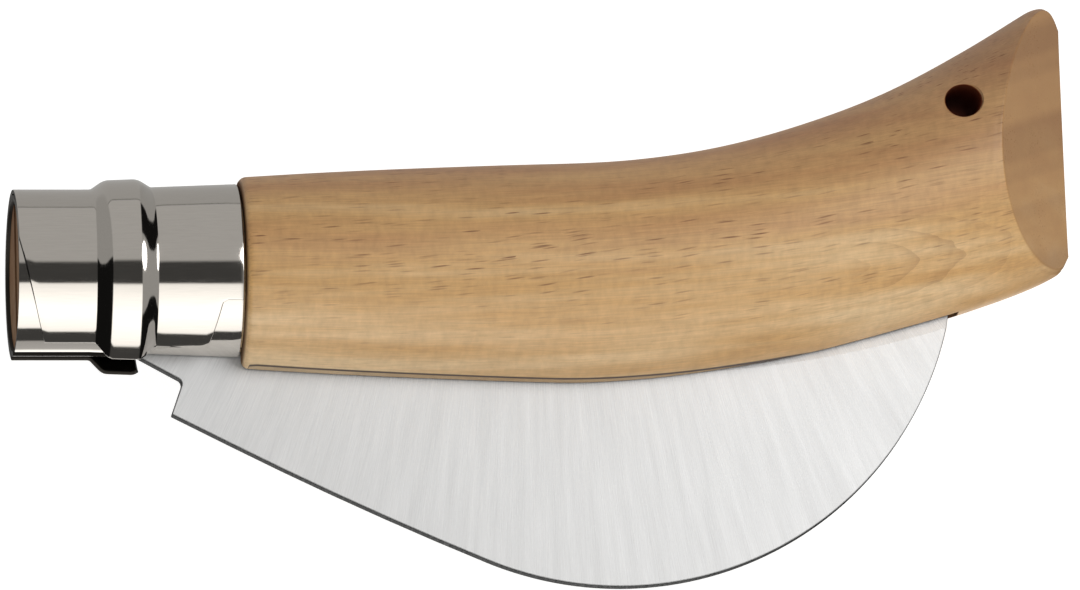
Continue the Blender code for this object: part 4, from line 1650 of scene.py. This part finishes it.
@dataclass
class Studio:
    """Pale floor, soft studio light and the camera at the photograph's angle."""

    origin: Vector
    picture_width: int = 1080
    # Pixels of the photograph to the millimetre
    scale: float = 7.82
    left_lean: float = 6.3
    low_lean: float = 12.0
    lens: float = 800.0
    sensor: float = 36.0
    clip: Point = (0.1, 100.0)
    centre: Point = (67.65 * MM, -2.52 * MM)
    floor_half: float = 12.0
    strength: float = 4.0
    # Share of red and green that the walls' blue has: a touch warm
    blue: float = 0.98
    lamp_place: Triple = (0.21, 0.11, 0.44)
    lamp_size: float = 0.3
    lamp_power: float = 1.0
    # Light of the walls by the angle in degrees from straight up, towards the blade's side
    middle: tuple[Point, ...] = (
        (-180, 0.115), (-94.1, 0.115), (-93.8, 0.035), (-92.8, 0.035), (-92.5, 0.135),
        (-8, 0.135), (-5, 0.016), (21, 0.016), (23, 0.35), (60, 0.52), (92, 0.4), (94, 0.017),
        (118, 0.017), (121, 0.13), (142, 0.15), (148, 0.45), (180, 0.45))
    left_end: tuple[Point, ...] = ((-180, 0.1), (-14, 0.1), (-11, 0.002), (180, 0.002))
    right_end: tuple[Point, ...] = ((-180, 0.1), (-91, 0.1), (-88, 0.002), (-44, 0.002),
                                    (-41, 0.105), (56, 0.105), (59, 0.002), (180, 0.002))
    # Where the end walls fade in, by the share of the direction that points along the knife
    left_fade: Point = (-0.36, -0.46)
    right_fade: Point = (0.24, 0.32)

    def add_camera(self) -> None:
        """Add the camera: a long lens above the knife, leaning to the collar and the blade."""
        left, low = math.radians(self.left_lean), math.radians(self.low_lean)
        back = Vector((-math.sin(left) * math.cos(low), -math.sin(low),
                       math.cos(left) * math.cos(low)))
        right = (Vector((1.0, 0.0, 0.0)) - back * back.x).normalized()
        camera = bpy.data.cameras.new("camera")
        camera.lens, camera.sensor_width = self.lens, self.sensor
        camera.clip_start, camera.clip_end = self.clip
        holder = linked("camera", camera)
        away = self.picture_width / self.scale * MM * self.lens / self.sensor
        place = self.origin + Vector((*self.centre, 0.0)) + back * away
        turn = Matrix((right, back.cross(right), back)).transposed().to_4x4()
        holder.matrix_world = Matrix.Translation(place) @ turn
        bpy.context.scene.camera = holder

    def add_light(self) -> None:
        """Light the studio: what the polished steel mirrors, and a soft lamp for the wood."""
        world = bpy.data.worlds.new("studio")
        world.use_nodes = True
        add = partial(add_node, world.node_tree)
        x, y, z = add("SeparateXYZ", add("TexCoord", output="Generated")).node.outputs
        angle = add("Math ARCTAN2", add("Math MULTIPLY", y, -1.0), z)
        share = add("MapRange", angle, -math.pi, math.pi)
        walls = []
        for wall in (self.middle, self.left_end, self.right_end):
            walls.append(add("ValToRGB", share))
            set_ramp(walls[-1], [((degrees + 180) / 360, (level, level, level * self.blue, 1.0))
                                 for degrees, level in wall])
        light = walls[0]
        for end, fade in zip(walls[1:], (self.left_fade, self.right_fade)):
            light = add("Mix RGBA", add("MapRange", x, *fade), light, end)
        feed(world.node_tree.nodes["Background"], {"Color": light, "Strength": self.strength})
        bpy.context.scene.world = world
        bpy.context.scene.view_settings.view_transform = 'Standard'

        lamp = bpy.data.lights.new("soft_lamp", 'AREA')
        lamp.shape, lamp.size, lamp.energy = 'DISK', self.lamp_size, self.lamp_power
        away = Vector(self.lamp_place)
        turn = away.to_track_quat('Z', 'Y').to_matrix().to_4x4()
        linked("soft_lamp", lamp).matrix_world = Matrix.Translation(away) @ turn

    def add_floor(self) -> None:
        """Add the pale floor under the knife, which the polished steel doesn't mirror."""
        bm = bmesh.new()
        bmesh.ops.create_grid(bm, x_segments=1, y_segments=1, size=self.floor_half)
        floor = finish_object("floor", mesh_from(bm, "floor"), OpalSheet().material())
        floor.visible_glossy = False


def dress(piece: Object, body: Body, node: str) -> None:
    """Put a piece on its body, in place of its construction node, and report it.

    Args:
        piece: The finished piece.
        body: The body that it rides on.
        node: The construction node that it stands for.
    """
    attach(piece, body.value)
    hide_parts(node)
    LOG.info("%s: %d faces, rides on %s", piece.name, len(piece.data.polygons), body.value)


def main() -> None:
    """Build the knife's pieces in order, then the studio round it."""
    logging.basicConfig(level=logging.INFO, format="%(message)s")
    collar = Collar()
    ring = LockRing(collar)
    blade = SickleBlade(collar)
    handle = BeechHandle(collar, ring, blade)
    rivet = Rivet(collar, blade)

    origin = collar.origin
    hole, _ = handle.lanyard()
    beech = VarnishedBeech((origin.x + hole.x, origin.y + hole.y), handle.lanyard_radius,
                           origin.x + handle.kerf_end, blade.thickness / 2 + handle.side_gap)
    dress(handle.build(beech.material()), Body.HANDLE, "handle")
    collar_finish = PolishedSteel(name="polished_collar_steel")
    dress(collar.build(blade.seat(), collar_finish.material()), Body.HANDLE,
          "ferrule")
    dress(ring.build(PolishedSteel().material()), Body.RING, "lock_ring")
    dress(blade.build(GroundSteel().material()), Body.BLADE, "blade")
    dress(rivet.build(PeenedSteel().material()), Body.HANDLE, "pivot_pin")

    studio = Studio(origin)
    studio.add_floor()
    studio.add_light()
    studio.add_camera()


if __name__ == "__main__":
    main()
